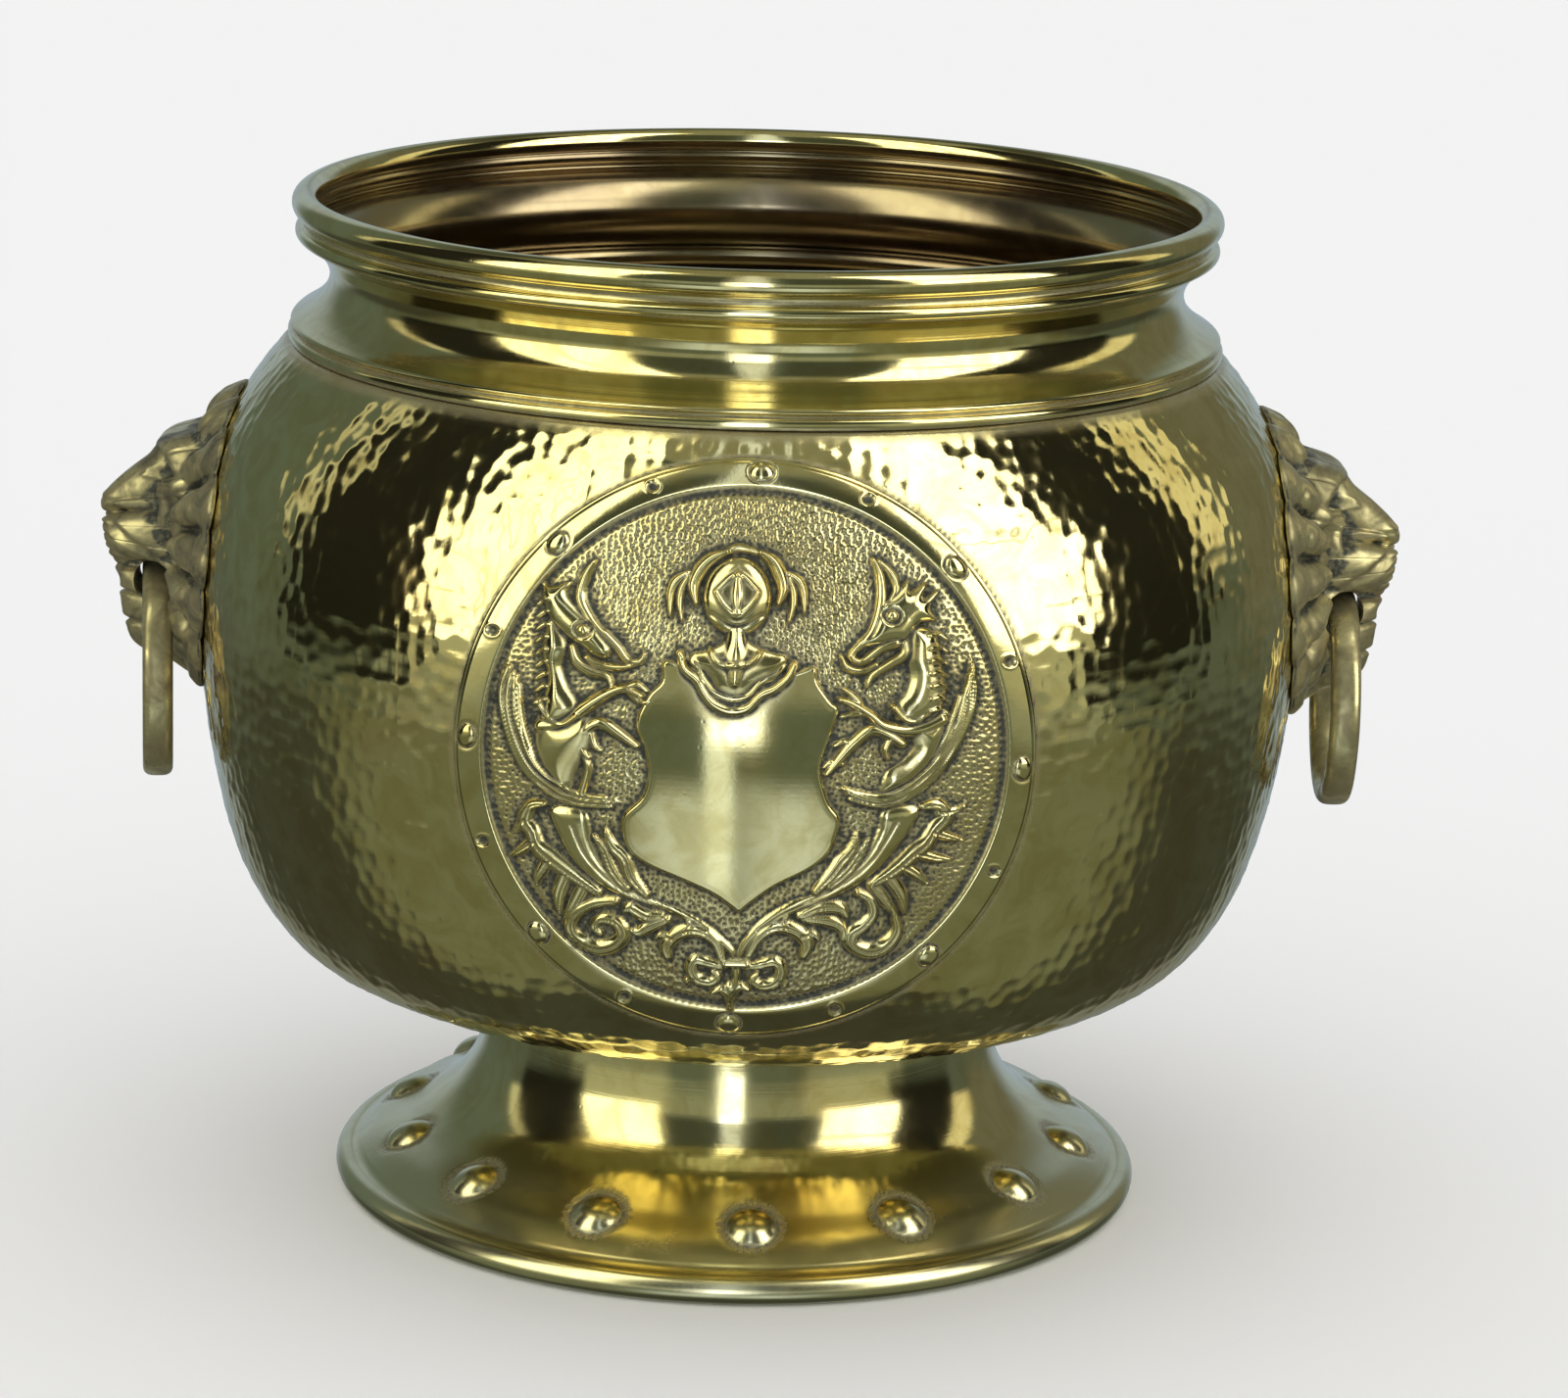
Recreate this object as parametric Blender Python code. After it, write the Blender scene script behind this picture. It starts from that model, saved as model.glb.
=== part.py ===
"""Brass planter pot (jardiniere) with a hammered bowl, spun neck, spun foot and two lion-mask ring handles.

Frame: metres, +Z up, origin at the centre of the base plane, decorated front towards -Y,
handles at -X (left) and +X (right).
"""
import math

import bmesh
import bpy
from mathutils import Matrix, Vector

MM = 0.001
GAP = 0.3                    # clearance kept between pieces that touch on the real pot, mm
SHEET = 1.1                  # spun sheet of the neck and foot, mm
ROLLED_SHEET = 0.95          # the same sheet, thinned where it is rolled over a wire
ROLL_STEPS = 8               # sides of a rolled edge
BOWL_SHEET = 1.2             # hammered sheet of the bowl, mm
TURNED_SIDES = 36            # sides of every large turned piece; its corners lie on +X and +Y

# Bowl, mm: outer side from the shoulder down to the flat floor, as (radius, height)
BOWL_SIDE = [(125.8, 235.7), (134.2, 225.0), (143.2, 209.5), (148.6, 187.0), (150.0, 165.0),
             (148.3, 143.0), (144.4, 117.0), (137.4, 93.0), (126.0, 75.5), (111.5, 66.4),
             (95.0, 62.9), (76.0, 61.65)]
BOWL_FLOOR = 61.65           # underside of the floor
UPSTAND_RADIUS = 122.9       # bowl edge that stands up inside the neck collar
UPSTAND_FOOT = 235.9
UPSTAND_TOP = 240.4

# Neck collar, mm: ledge with a groove, hollow neck, bead, and the edge rolled over a wire
COLLAR_LEDGE = [(125.5, 236.2), (125.4, 238.3), (124.6, 239.0), (124.6, 239.6), (124.4, 241.2)]
COLLAR_HOLLOW = [(124.4, 241.2), (119.2, 244.8), (115.3, 249.2), (114.7, 254.2), (118.0, 260.0),
                 (122.4, 262.9)]
COLLAR_BEAD = [(123.7, 264.6), (122.9, 266.5), (121.9, 268.2)]
RIM_RADIUS = 121.3
RIM_HEIGHT = 272.2
RIM_ROLL = 3.5
RIM_WIRE = 2.0
RIM_ROLL_ARC = (-72.0, 235.0, -95.0)      # degrees: outer start, far end, inner end

# Pedestal foot, mm: seat flange, narrow neck, flare, and the edge rolled over a wire
FOOT_SEAT_RADIUS = 57.5
FOOT_SEAT_EDGE = 69.6
FOOT_SEAT_TOP = BOWL_FLOOR - GAP
FOOT_SIDE = [(70.6, 59.8), (70.5, 48.0), (73.0, 36.0), (79.6, 26.0), (89.0, 18.9), (98.0, 14.0),
             (104.8, 9.3)]
FOOT_ROLL_RADIUS = 107.5
FOOT_ROLL = 3.8
FOOT_WIRE = 2.2
FOOT_ROLL_ARC = (105.0, -225.0, 125.0)   # degrees: outer start, far end, inner end
FOOT_FLAT = 0.3              # the roll is worn flat below this height
BOSS_COUNT = 14
BOSS_PHASE = 3.0             # degrees from the front towards +X
BOSS_RADIUS = 6.7
BOSS_RISE = 2.8
BOSS_SUNK = 0.6
BOSS_PLACE = (93.5, 16.45)   # boss centre on the flare, as (radius, height)
BOSS_LEAN = 29.0             # slope of the flare under a boss, degrees from level

# Rivets through floor and seat flange, mm
RIVET_COUNT = 4
RIVET_CIRCLE = 63.8
RIVET_RADIUS = 1.8
RIVET_HEAD = (4.2, 2.4)      # radius, height
RIVET_TAIL = (2.9, 1.1)
BURR = (2.2, 4.4, 0.9)       # inner radius, outer radius, thickness

# Lion masks and their fixings, mm
MASK_CENTRE = 180.0          # height of the mask's middle
MASK_HALF_WIDTH = 44.0
MASK_ABOVE = 41.0
MASK_BELOW = 43.5
MASK_LOBES = 11
MASK_LOBE_DEPTH = 2.0
MASK_PLATE = 3.6
MASK_BACK_GAP = 0.45
MOUTH_REACH = 161.5          # distance of the mouth tunnel from the pot's axis
MOUTH_HEIGHT = 167.8
MOUTH_RADIUS = 6.1
STUD_HEIGHTS = {"upper": 204.0, "lower": 150.0}
STUD_RADIUS = 2.0
STUD_HOLE = 2.4
STUD_SPAN = (-9.0, 5.4)      # from inside the bowl to inside the mask
WASHER = (2.4, 5.5, 1.0)     # inner radius, outer radius, thickness
WASHER_TOP = -2.05
NUT = (2.4, 3.6, 3.2)        # inner radius, half the width across flats, thickness

# Rings, mm: middle radius, half thickness in the ring's plane, half width across it
RING_RADIUS = 27.0
RING_HALF_DEPTH = 3.12       # of the eight-sided section's corners
RING_HALF_WIDTH = 4.16
RING_TOP = 167.8             # height of the middle of the section that lies in the mouth
HINGE_HEIGHT = 167.0
RING_TURN = {"left": 6.44, "right": 0.0}   # how far each ring hangs turned about the vertical, degrees

SIDES = {"left": -1.0, "right": 1.0}

# Relief of a mask above the wall, mm: (half width offset, height, half width, half height, rise)
MASK_RELIEF = [
    (0.0, 199.0, 29.0, 20.0, 12.5),     # skull
    (0.0, 202.0, 17.0, 8.0, 16.6),      # brow
    (0.0, 178.5, 10.5, 19.0, 26.8),     # muzzle
    (0.0, 189.0, 7.0, 9.0, 28.8),       # nose
    (20.0, 189.0, 12.0, 12.0, 9.0),     # cheeks
    (0.0, 157.0, 8.5, 13.0, 22.0),      # jaw and chin
    (0.0, 213.0, 14.0, 9.0, 6.5),       # forelock
]


def clear_scene():
    for item in list(bpy.data.objects):
        bpy.data.objects.remove(item, do_unlink=True)


def make_material(name, colour, roughness, metallic=1.0):
    material = bpy.data.materials.new(name)
    material.use_nodes = True
    shader = material.node_tree.nodes["Principled BSDF"]
    shader.inputs["Base Color"].default_value = (*colour, 1.0)
    shader.inputs["Roughness"].default_value = roughness
    shader.inputs["Metallic"].default_value = metallic
    material.diffuse_color = (*colour, 1.0)
    return material


def add_object(name, bm, material=None, matrix=None):
    """Close the bmesh off into a named object, its points given in millimetres."""
    bmesh.ops.scale(bm, vec=(MM, MM, MM), verts=bm.verts)
    bmesh.ops.recalc_face_normals(bm, faces=bm.faces)
    mesh = bpy.data.meshes.new(name)
    bm.to_mesh(mesh)
    bm.free()
    mesh.shade_smooth()
    mesh.set_sharp_from_angle(angle=math.radians(35))
    item = bpy.data.objects.new(name, mesh)
    bpy.context.scene.collection.objects.link(item)
    if material:
        mesh.materials.append(material)
    if matrix:
        item.matrix_world = matrix
    return item


def smooth_curve(points, steps):
    """Catmull-Rom curve through (radius, height) points, with the given steps in each stretch."""
    ends = [points[0]] + list(points) + [points[-1]]
    curve = []
    for k in range(1, len(ends) - 2):
        p0, p1, p2, p3 = (Vector(ends[k + i]) for i in (-1, 0, 1, 2))
        for step in range(steps):
            t = step / steps
            a = 2 * p1 + (p2 - p0) * t
            b = (2 * p0 - 5 * p1 + 4 * p2 - p3) * t ** 2
            c = (3 * p1 - p0 - 3 * p2 + p3) * t ** 3
            curve.append(tuple((a + b + c) / 2))
    curve.append(tuple(points[-1]))
    return curve


def arc(centre, radius, start, end, count):
    """Points on an arc, angles in degrees."""
    points = []
    for k in range(count + 1):
        angle = math.radians(start + (end - start) * k / count)
        points.append((centre[0] + radius * math.cos(angle), centre[1] + radius * math.sin(angle)))
    return points


def offset(points, distance):
    """The same polyline moved to the right of its direction of travel, mitred at its corners."""
    moved = []
    last = len(points) - 1
    for k, point in enumerate(points):
        before = Vector(point) - Vector(points[max(k - 1, 0)])
        after = Vector(points[min(k + 1, last)]) - Vector(point)
        before = before.normalized() if before.length else after.normalized()
        after = after.normalized() if after.length else before
        along = (before + after).normalized()
        mitre = distance / max(along.dot(after), 0.5)
        moved.append((point[0] + along.y * mitre, point[1] - along.x * mitre))
    return moved


def lathe(profile, sides=TURNED_SIDES, closed=True):
    """Turn a (radius, height) profile about Z. An open profile starts and ends on the axis."""
    bm = bmesh.new()
    rings = []
    for radius, height in profile:
        if radius < 1e-6:
            rings.append([bm.verts.new((0, 0, height))])
            continue
        angles = [2 * math.pi * k / sides for k in range(sides)]
        rings.append([bm.verts.new((radius * math.cos(a), radius * math.sin(a), height)) for a in angles])
    pairs = list(zip(rings, rings[1:]))
    if closed:
        pairs.append((rings[-1], rings[0]))
    for low, high in pairs:
        for k in range(sides):
            n = (k + 1) % sides
            corners = [low[k % len(low)], low[n % len(low)], high[n % len(high)], high[k % len(high)]]
            unique = list(dict.fromkeys(corners))
            if len(unique) > 2:
                bm.faces.new(unique)
    return bm


def cylinder(bm, radius, low, high, matrix, sides=16):
    """Add a closed cylinder along the matrix's Z axis."""
    middle = Matrix.Translation((0, 0, (low + high) / 2))
    bmesh.ops.create_cone(bm, cap_ends=True, segments=sides, radius1=radius, radius2=radius,
                          depth=high - low, matrix=matrix @ middle)


def cut(item, bm, name):
    """Cut the closed shapes in a bmesh out of an object."""
    cutter = add_object(name, bm)
    cutter.hide_render = True
    cutter.display_type = "WIRE"
    modifier = item.modifiers.new(name, "BOOLEAN")
    modifier.operation = "DIFFERENCE"
    modifier.object = cutter


def metres(matrix):
    """The same placing with its offset turned from millimetres into metres."""
    return Matrix.Translation(matrix.translation * MM) @ matrix.to_3x3().to_4x4()


# ---- the wall that the masks sit on

WALL = smooth_curve(BOWL_SIDE, 16)


def wall_radius(height):
    for (r1, z1), (r2, z2) in zip(WALL, WALL[1:]):
        if z2 <= height <= z1:
            return r1 + (r2 - r1) * (height - z1) / (z2 - z1)
    return WALL[0][0]


def wall_frame(side, height):
    """Placing with its origin on the outer wall and +Z along the wall's normal."""
    slope = (wall_radius(height + 2) - wall_radius(height - 2)) / 4
    normal = Vector((side, 0, -slope)).normalized()
    across = Vector((0, 1, 0))
    turn = Matrix((across.cross(normal), across, normal)).transposed()
    return Matrix.Translation((side * wall_radius(height), 0, height)) @ turn.to_4x4()


# ---- turned pieces

def rivet_places():
    for k in range(RIVET_COUNT):
        angle = 2 * math.pi * (k + 0.5) / RIVET_COUNT
        yield k + 1, RIVET_CIRCLE * math.cos(angle), RIVET_CIRCLE * math.sin(angle)


def rivet_holes(low, high):
    bm = bmesh.new()
    for _, x, y in rivet_places():
        cylinder(bm, RIVET_RADIUS + GAP + 0.1, low, high, Matrix.Translation((x, y, 0)), 12)
    return bm


def make_bowl(material):
    outer = [(UPSTAND_RADIUS, UPSTAND_TOP), (UPSTAND_RADIUS, UPSTAND_FOOT)] + smooth_curve(BOWL_SIDE, 2)
    inner = offset(outer, BOWL_SHEET)
    floor = BOWL_FLOOR + BOWL_SHEET
    profile = [(0, floor)] + inner[::-1] + outer + [(0, BOWL_FLOOR)]
    bowl = add_object("bowl", lathe(profile, closed=False), material)
    holes = rivet_holes(BOWL_FLOOR - 3, floor + 3)
    for side in SIDES.values():
        for height in STUD_HEIGHTS.values():
            cylinder(holes, STUD_HOLE, -4, 3, wall_frame(side, height), 12)
    cut(bowl, holes, "bowl_holes")
    return bowl


def make_collar(material):
    centre = (RIM_RADIUS, RIM_HEIGHT)
    outer = COLLAR_LEDGE[:-1] + smooth_curve(COLLAR_HOLLOW, 2) + COLLAR_BEAD
    inner = offset(outer, -SHEET)
    start, far, inner_end = RIM_ROLL_ARC
    roll_outside = arc(centre, RIM_ROLL, start, far, ROLL_STEPS)
    roll_inside = arc(centre, RIM_ROLL - ROLLED_SHEET, far, inner_end, ROLL_STEPS)
    profile = outer + roll_outside + roll_inside + inner[::-1]
    return add_object("neck_collar", lathe(profile), material)


def make_foot(material):
    seat = [(FOOT_SEAT_RADIUS, FOOT_SEAT_TOP), (FOOT_SEAT_EDGE, FOOT_SEAT_TOP)]
    outer = seat + smooth_curve(FOOT_SIDE, 2)
    inner = offset(outer, SHEET)
    centre = (FOOT_ROLL_RADIUS, FOOT_ROLL)
    start, far, inner_end = FOOT_ROLL_ARC
    roll_outside = arc(centre, FOOT_ROLL, start, far, ROLL_STEPS + 3)
    roll_outside = [(r, z if z > FOOT_FLAT else 0.0) for r, z in roll_outside]
    roll_inside = arc(centre, FOOT_ROLL - ROLLED_SHEET, far, inner_end, ROLL_STEPS)
    profile = outer + roll_outside + roll_inside + inner[::-1]
    foot = add_object("pedestal_foot", lathe(profile), material)
    cut(foot, rivet_holes(FOOT_SEAT_TOP - 4, FOOT_SEAT_TOP + 3), "foot_holes")
    bosses = add_object("foot_bosses", boss_domes())
    bosses.hide_render = True
    bosses.display_type = "WIRE"
    union = foot.modifiers.new("foot_bosses", "BOOLEAN")
    union.operation = "UNION"
    union.object = bosses
    return foot


def boss_domes():
    """The domes round the flare, each sunk a little into the sheet."""
    sphere = (BOSS_RADIUS ** 2 + BOSS_RISE ** 2) / (2 * BOSS_RISE)
    edge = math.degrees(math.asin(BOSS_RADIUS / sphere))
    dome = arc((0, BOSS_RISE - sphere), sphere, 90, 90 - edge, 2)
    profile = [(0.0, dome[0][1])] + dome[1:] + [(BOSS_RADIUS, -BOSS_SUNK), (0.0, -BOSS_SUNK)]
    joined = bmesh.new()
    for k in range(BOSS_COUNT):
        bearing = math.radians(BOSS_PHASE + 360 * k / BOSS_COUNT - 90)
        place = Matrix.Rotation(bearing, 4, "Z") @ Matrix.Translation((BOSS_PLACE[0], 0, BOSS_PLACE[1]))
        lean = Matrix.Rotation(math.radians(BOSS_LEAN), 4, "Y")
        single = lathe(profile, 10, closed=False)
        bmesh.ops.transform(single, matrix=place @ lean, verts=single.verts)
        mesh = bpy.data.meshes.new("boss")
        single.to_mesh(mesh)
        single.free()
        joined.from_mesh(mesh)
    return joined


def make_wires(material):
    rim = lathe(arc((RIM_RADIUS, RIM_HEIGHT), RIM_WIRE, 0, 300, 5))
    add_object("rim_wire", rim, material)
    foot = lathe(arc((FOOT_ROLL_RADIUS, FOOT_ROLL), FOOT_WIRE, 0, 300, 5))
    add_object("foot_wire", foot, material)


# ---- fixings

def make_rivets(material):
    floor = BOWL_FLOOR + BOWL_SHEET
    head_radius, head_height = RIVET_HEAD
    head = [(0.0, floor + GAP + head_height), (head_radius * 0.6, floor + GAP + head_height * 0.8),
            (head_radius, floor + GAP)]
    burr_inner, burr_outer, burr_thickness = BURR
    burr_top = FOOT_SEAT_TOP - SHEET - GAP
    burr_low = burr_top - burr_thickness
    tail_top = burr_low - GAP
    tail_radius, tail_height = RIVET_TAIL
    tail = [(RIVET_RADIUS, tail_top), (tail_radius, tail_top), (tail_radius * 0.7, tail_top - tail_height),
            (0.0, tail_top - tail_height)]
    rivet = head + [(RIVET_RADIUS, floor + GAP)] + tail
    washer = [(burr_inner, burr_top), (burr_outer, burr_top), (burr_outer, burr_low), (burr_inner, burr_low)]
    for number, x, y in rivet_places():
        place = Matrix.Translation((x * MM, y * MM, 0))
        add_object(f"foot_rivet_{number}", lathe(rivet, 10, closed=False), material, place)
        add_object(f"rivet_burr_{number}", lathe(washer, 10), material, place)


def hexagon_nut():
    """A plain hexagon nut, its corners and flat middles joined to a round hole."""
    inner, half_flat, thickness = NUT
    bm = bmesh.new()
    rings = []
    for height in (0.0, -thickness):
        hole = []
        rim = []
        for k in range(12):
            angle = math.pi * k / 6
            reach = half_flat / math.cos(math.pi / 6) if k % 2 else half_flat
            hole.append(bm.verts.new((inner * math.cos(angle), inner * math.sin(angle), height)))
            rim.append(bm.verts.new((reach * math.cos(angle), reach * math.sin(angle), height)))
        rings += [hole, rim]
    top_hole, top_rim, low_hole, low_rim = rings
    order = (top_hole, top_rim, low_rim, low_hole, top_hole)
    for first, second in zip(order, order[1:]):
        for k in range(12):
            n = (k + 1) % 12
            bm.faces.new((first[k], first[n], second[n], second[k]))
    return bm


def make_mask_fixings(stud_material, nut_material):
    inner, outer, thickness = WASHER
    washer = [(inner, 0), (outer, 0), (outer, -thickness), (inner, -thickness)]
    stud = [(0, STUD_SPAN[1]), (STUD_RADIUS, STUD_SPAN[1]), (STUD_RADIUS, STUD_SPAN[0]), (0, STUD_SPAN[0])]
    nut_top = WASHER_TOP - thickness - GAP
    for side_name, side in SIDES.items():
        for level, height in STUD_HEIGHTS.items():
            place = metres(wall_frame(side, height))
            add_object(f"mask_stud_{level}_{side_name}", lathe(stud, 12, closed=False), stud_material, place)
            seat = place @ Matrix.Translation((0, 0, WASHER_TOP * MM))
            add_object(f"mask_washer_{level}_{side_name}", lathe(washer, 14), nut_material, seat)
            below = place @ Matrix.Translation((0, 0, nut_top * MM))
            add_object(f"mask_nut_{level}_{side_name}", hexagon_nut(), nut_material, below)


# ---- lion masks

def mask_edge(angle):
    """Distance from the mask's middle to its scalloped edge, in a direction measured from the top."""
    vertical = MASK_ABOVE if math.cos(angle) > 0 else MASK_BELOW
    oval = 1 / math.hypot(math.sin(angle) / MASK_HALF_WIDTH, math.cos(angle) / vertical)
    return oval - MASK_LOBE_DEPTH * (1 - math.cos(MASK_LOBES * angle)) / 2


def mask_rise(across, height):
    """How far the mask's face stands off the wall."""
    rise = MASK_PLATE
    for offset_across, centre, half_width, half_height, top in MASK_RELIEF:
        d = math.hypot((abs(across) - offset_across) / half_width, (height - centre) / half_height)
        if d < 1:
            rise = max(rise, top * math.sqrt(1 - d ** 2))
    return rise


def mask_solid(side):
    """A grid of rings round the mask's middle: the face in front, the wall's curve behind."""
    directions = 4 * MASK_LOBES
    rings = 6
    bm = bmesh.new()

    def corner(angle, fraction, front):
        reach = mask_edge(angle) * fraction
        across = reach * math.sin(angle)
        height = MASK_CENTRE + reach * math.cos(angle)
        wall = math.sqrt(wall_radius(height) ** 2 - across ** 2)
        off = mask_rise(across, height) if front else MASK_BACK_GAP
        return bm.verts.new((side * (wall + off), across, height))

    sheets = []
    for front in (True, False):
        middle = corner(0, 0, front)
        sheet = [[middle] * directions]
        for ring in range(1, rings + 1):
            share = ring / rings
            sheet.append([corner(math.tau * k / directions, share, front) for k in range(directions)])
        sheets.append(sheet)
    face, back = sheets
    for sheet in sheets:
        for low, high in zip(sheet, sheet[1:]):
            for k in range(directions):
                n = (k + 1) % directions
                bm.faces.new(dict.fromkeys((low[k], low[n], high[n], high[k])))
    for k in range(directions):
        n = (k + 1) % directions
        bm.faces.new((face[-1][k], face[-1][n], back[-1][n], back[-1][k]))
    return bm


def mouth_axis(side_name):
    """Placing at the mouth with +Z along the tunnel."""
    side = SIDES[side_name]
    turn = Matrix.Rotation(math.radians(RING_TURN[side_name]), 4, "Z")
    place = Matrix.Translation((side * MOUTH_REACH, 0, MOUTH_HEIGHT))
    return place @ turn @ Matrix.Rotation(math.pi / 2, 4, "X")


def make_masks(material):
    for side_name, side in SIDES.items():
        mask = add_object(f"lion_mask_{side_name}", mask_solid(side), material)
        holes = bmesh.new()
        cylinder(holes, MOUTH_RADIUS, -40, 40, mouth_axis(side_name), 16)
        for height in STUD_HEIGHTS.values():
            cylinder(holes, STUD_HOLE, -2, STUD_SPAN[1] + GAP, wall_frame(side, height), 12)
        cut(mask, holes, f"mask_holes_{side_name}")


# ---- rings

def make_rings(material):
    """Loose rings with a rounded section, each with its origin on the axis it swings about."""
    section = []
    for k in range(8):
        angle = math.radians(22.5 + 45 * k)
        section.append((RING_HALF_DEPTH * math.cos(angle), RING_HALF_WIDTH * math.sin(angle)))
    for side_name, side in SIDES.items():
        ring = lathe([(RING_RADIUS + a, b) for a, b in section], 32)
        hang = Matrix.Translation((0, 0, RING_TOP - RING_RADIUS - HINGE_HEIGHT))
        upright = Matrix.Rotation(math.pi / 2, 4, "Y")
        bmesh.ops.transform(ring, matrix=hang @ upright, verts=ring.verts)
        place = Matrix.Translation((side * MOUTH_REACH * MM, 0, HINGE_HEIGHT * MM))
        turn = Matrix.Rotation(math.radians(RING_TURN[side_name]), 4, "Z")
        add_object(f"ring_{side_name}", ring, material, place @ turn)


def main():
    clear_scene()
    hammered = make_material("hammered_brass", (0.52, 0.44, 0.20), 0.22)
    spun = make_material("spun_brass", (0.60, 0.51, 0.24), 0.16)
    cast = make_material("cast_brass", (0.50, 0.41, 0.18), 0.30)
    ring = make_material("ring_brass", (0.46, 0.38, 0.17), 0.26)
    wire = make_material("edge_wire", (0.33, 0.33, 0.32), 0.45)
    fixing = make_material("fixing_brass", (0.44, 0.36, 0.18), 0.38)
    make_bowl(hammered)
    make_collar(spun)
    make_foot(spun)
    make_wires(wire)
    make_rivets(fixing)
    make_masks(cast)
    make_mask_fixings(fixing, fixing)
    make_rings(ring)


main()
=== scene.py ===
"""Looks of the brass planter pot: a hammered bowl with an embossed roundel, a spun neck and foot,
cast lion masks and loose rings, on a pale floor in soft studio light. Lengths are in millimetres
until a mesh is made, and then in metres.
"""
import math

import bpy
import numpy as np
from mathutils import Matrix, Vector


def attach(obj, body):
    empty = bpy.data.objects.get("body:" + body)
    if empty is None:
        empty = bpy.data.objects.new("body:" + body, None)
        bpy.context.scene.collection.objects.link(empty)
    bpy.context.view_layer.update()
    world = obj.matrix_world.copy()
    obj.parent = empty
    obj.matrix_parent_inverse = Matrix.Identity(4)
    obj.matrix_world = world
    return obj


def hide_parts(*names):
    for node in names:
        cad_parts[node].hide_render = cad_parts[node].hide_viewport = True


MM = 0.001
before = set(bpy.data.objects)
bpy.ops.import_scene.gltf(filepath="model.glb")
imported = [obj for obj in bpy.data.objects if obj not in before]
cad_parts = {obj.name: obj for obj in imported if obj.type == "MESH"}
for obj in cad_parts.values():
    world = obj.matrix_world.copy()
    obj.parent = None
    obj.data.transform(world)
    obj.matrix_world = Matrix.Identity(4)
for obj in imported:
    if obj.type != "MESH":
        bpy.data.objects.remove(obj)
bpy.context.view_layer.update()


# ---------------------------------------------------------------- curves and meshes

def spline(points, steps=8, closed=False):
    """Catmull-Rom curve through points, as rows of an array."""
    p = np.asarray(points, float)
    q = np.vstack([p[-1:], p, p[:2]]) if closed else np.vstack([p[:1], p, p[-1:]])
    t = np.linspace(0, 1, steps, endpoint=False)[:, None]
    parts = []
    for a, b, c, d in zip(q, q[1:], q[2:], q[3:]):
        square = 2 * a - 5 * b + 4 * c - d
        cube = 3 * b - a - 3 * c + d
        parts.append((2 * b + (c - a) * t + square * t ** 2 + cube * t ** 3) / 2)
    curve = np.vstack(parts)
    return curve if closed else np.vstack([curve, p[-1:]])


def lengths(points):
    """Distance along a polyline to each of its points."""
    return np.concatenate([[0], np.cumsum(np.hypot(*np.diff(points, axis=0).T))])


def resample(points, pitch):
    """The same polyline with evenly spaced points about a pitch apart."""
    p = np.asarray(points, float)
    along = lengths(p)
    marks = np.linspace(0, along[-1], max(2, int(round(along[-1] / pitch)) + 1))
    return np.column_stack([np.interp(marks, along, p[:, k]) for k in (0, 1)])


def full_turn(count):
    """Evenly spaced angles round a circle."""
    return 2 * np.pi * np.arange(count) / count


def arc(centre, radius, start, end, count):
    angles = np.radians(np.linspace(start, end, count + 1))
    return np.column_stack([centre[0] + radius * np.cos(angles), centre[1] + radius * np.sin(angles)])


def normals_of(profile):
    """Unit normals to the right of a (radius, height) profile's direction of travel."""
    d = np.gradient(profile, axis=0)
    d /= np.maximum(np.hypot(d[:, 0], d[:, 1]), 1e-9)[:, None]
    return np.column_stack([d[:, 1], -d[:, 0]])


def step(value, low, high):
    t = np.clip((value - low) / (high - low), 0, 1)
    return t * t * (3 - 2 * t)


def add_object(name, data):
    item = bpy.data.objects.new(name, data)
    bpy.context.scene.collection.objects.link(item)
    return item


def make_piece(name, points, faces, material, body, replaces=(), values=None):
    """A smooth mesh piece from points in millimetres and arrays of faces, riding on a body."""
    mesh = bpy.data.meshes.new(name)
    mesh.vertices.add(len(points))
    mesh.vertices.foreach_set("co", (np.asarray(points) * MM).astype(np.float32).ravel())
    corners = np.concatenate([np.asarray(f).ravel() for f in faces]).astype(np.int32)
    sizes = np.concatenate([np.full(len(f), np.asarray(f).shape[1]) for f in faces])
    mesh.loops.add(len(corners))
    mesh.loops.foreach_set("vertex_index", corners)
    mesh.polygons.add(len(sizes))
    mesh.polygons.foreach_set("loop_start", np.concatenate([[0], np.cumsum(sizes)[:-1]]).astype(np.int32))
    mesh.update(calc_edges=True)
    mesh.shade_smooth()
    for key, value in (values or {}).items():
        attribute = mesh.attributes.new(key, "FLOAT", "POINT")
        attribute.data.foreach_set("value", np.asarray(value).astype(np.float32).ravel())
    mesh.materials.append(material)
    item = add_object(name, mesh)
    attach(item, body)
    if replaces:
        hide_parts(*replaces)
    return item


def grid_quads(rows, columns, wrap_rows=False, wrap_columns=False):
    """Corner numbers of the quads of a grid of points stored row by row."""
    r = np.arange(rows if wrap_rows else rows - 1)
    c = np.arange(columns if wrap_columns else columns - 1)
    r, c = np.meshgrid(r, c, indexing="ij")
    r2, c2 = (r + 1) % rows, (c + 1) % columns
    quads = [r * columns + c, r * columns + c2, r2 * columns + c2, r2 * columns + c]
    return np.stack(quads, -1).reshape(-1, 4)


def turn_profile(profile, sides, displace=None):
    """Grid of points of a profile that runs up the outside, turned about Z, moved along its normals."""
    profile = np.asarray(profile, float)
    angle = full_turn(sides)
    radius = np.repeat(profile[:, :1], sides, 1)
    height = np.repeat(profile[:, 1:], sides, 1)
    if displace is not None:
        normal = normals_of(profile)
        radius = radius + displace * normal[:, :1]
        height = height + displace * normal[:, 1:]
    return np.stack([radius * np.cos(angle), radius * np.sin(angle), height], -1)


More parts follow.
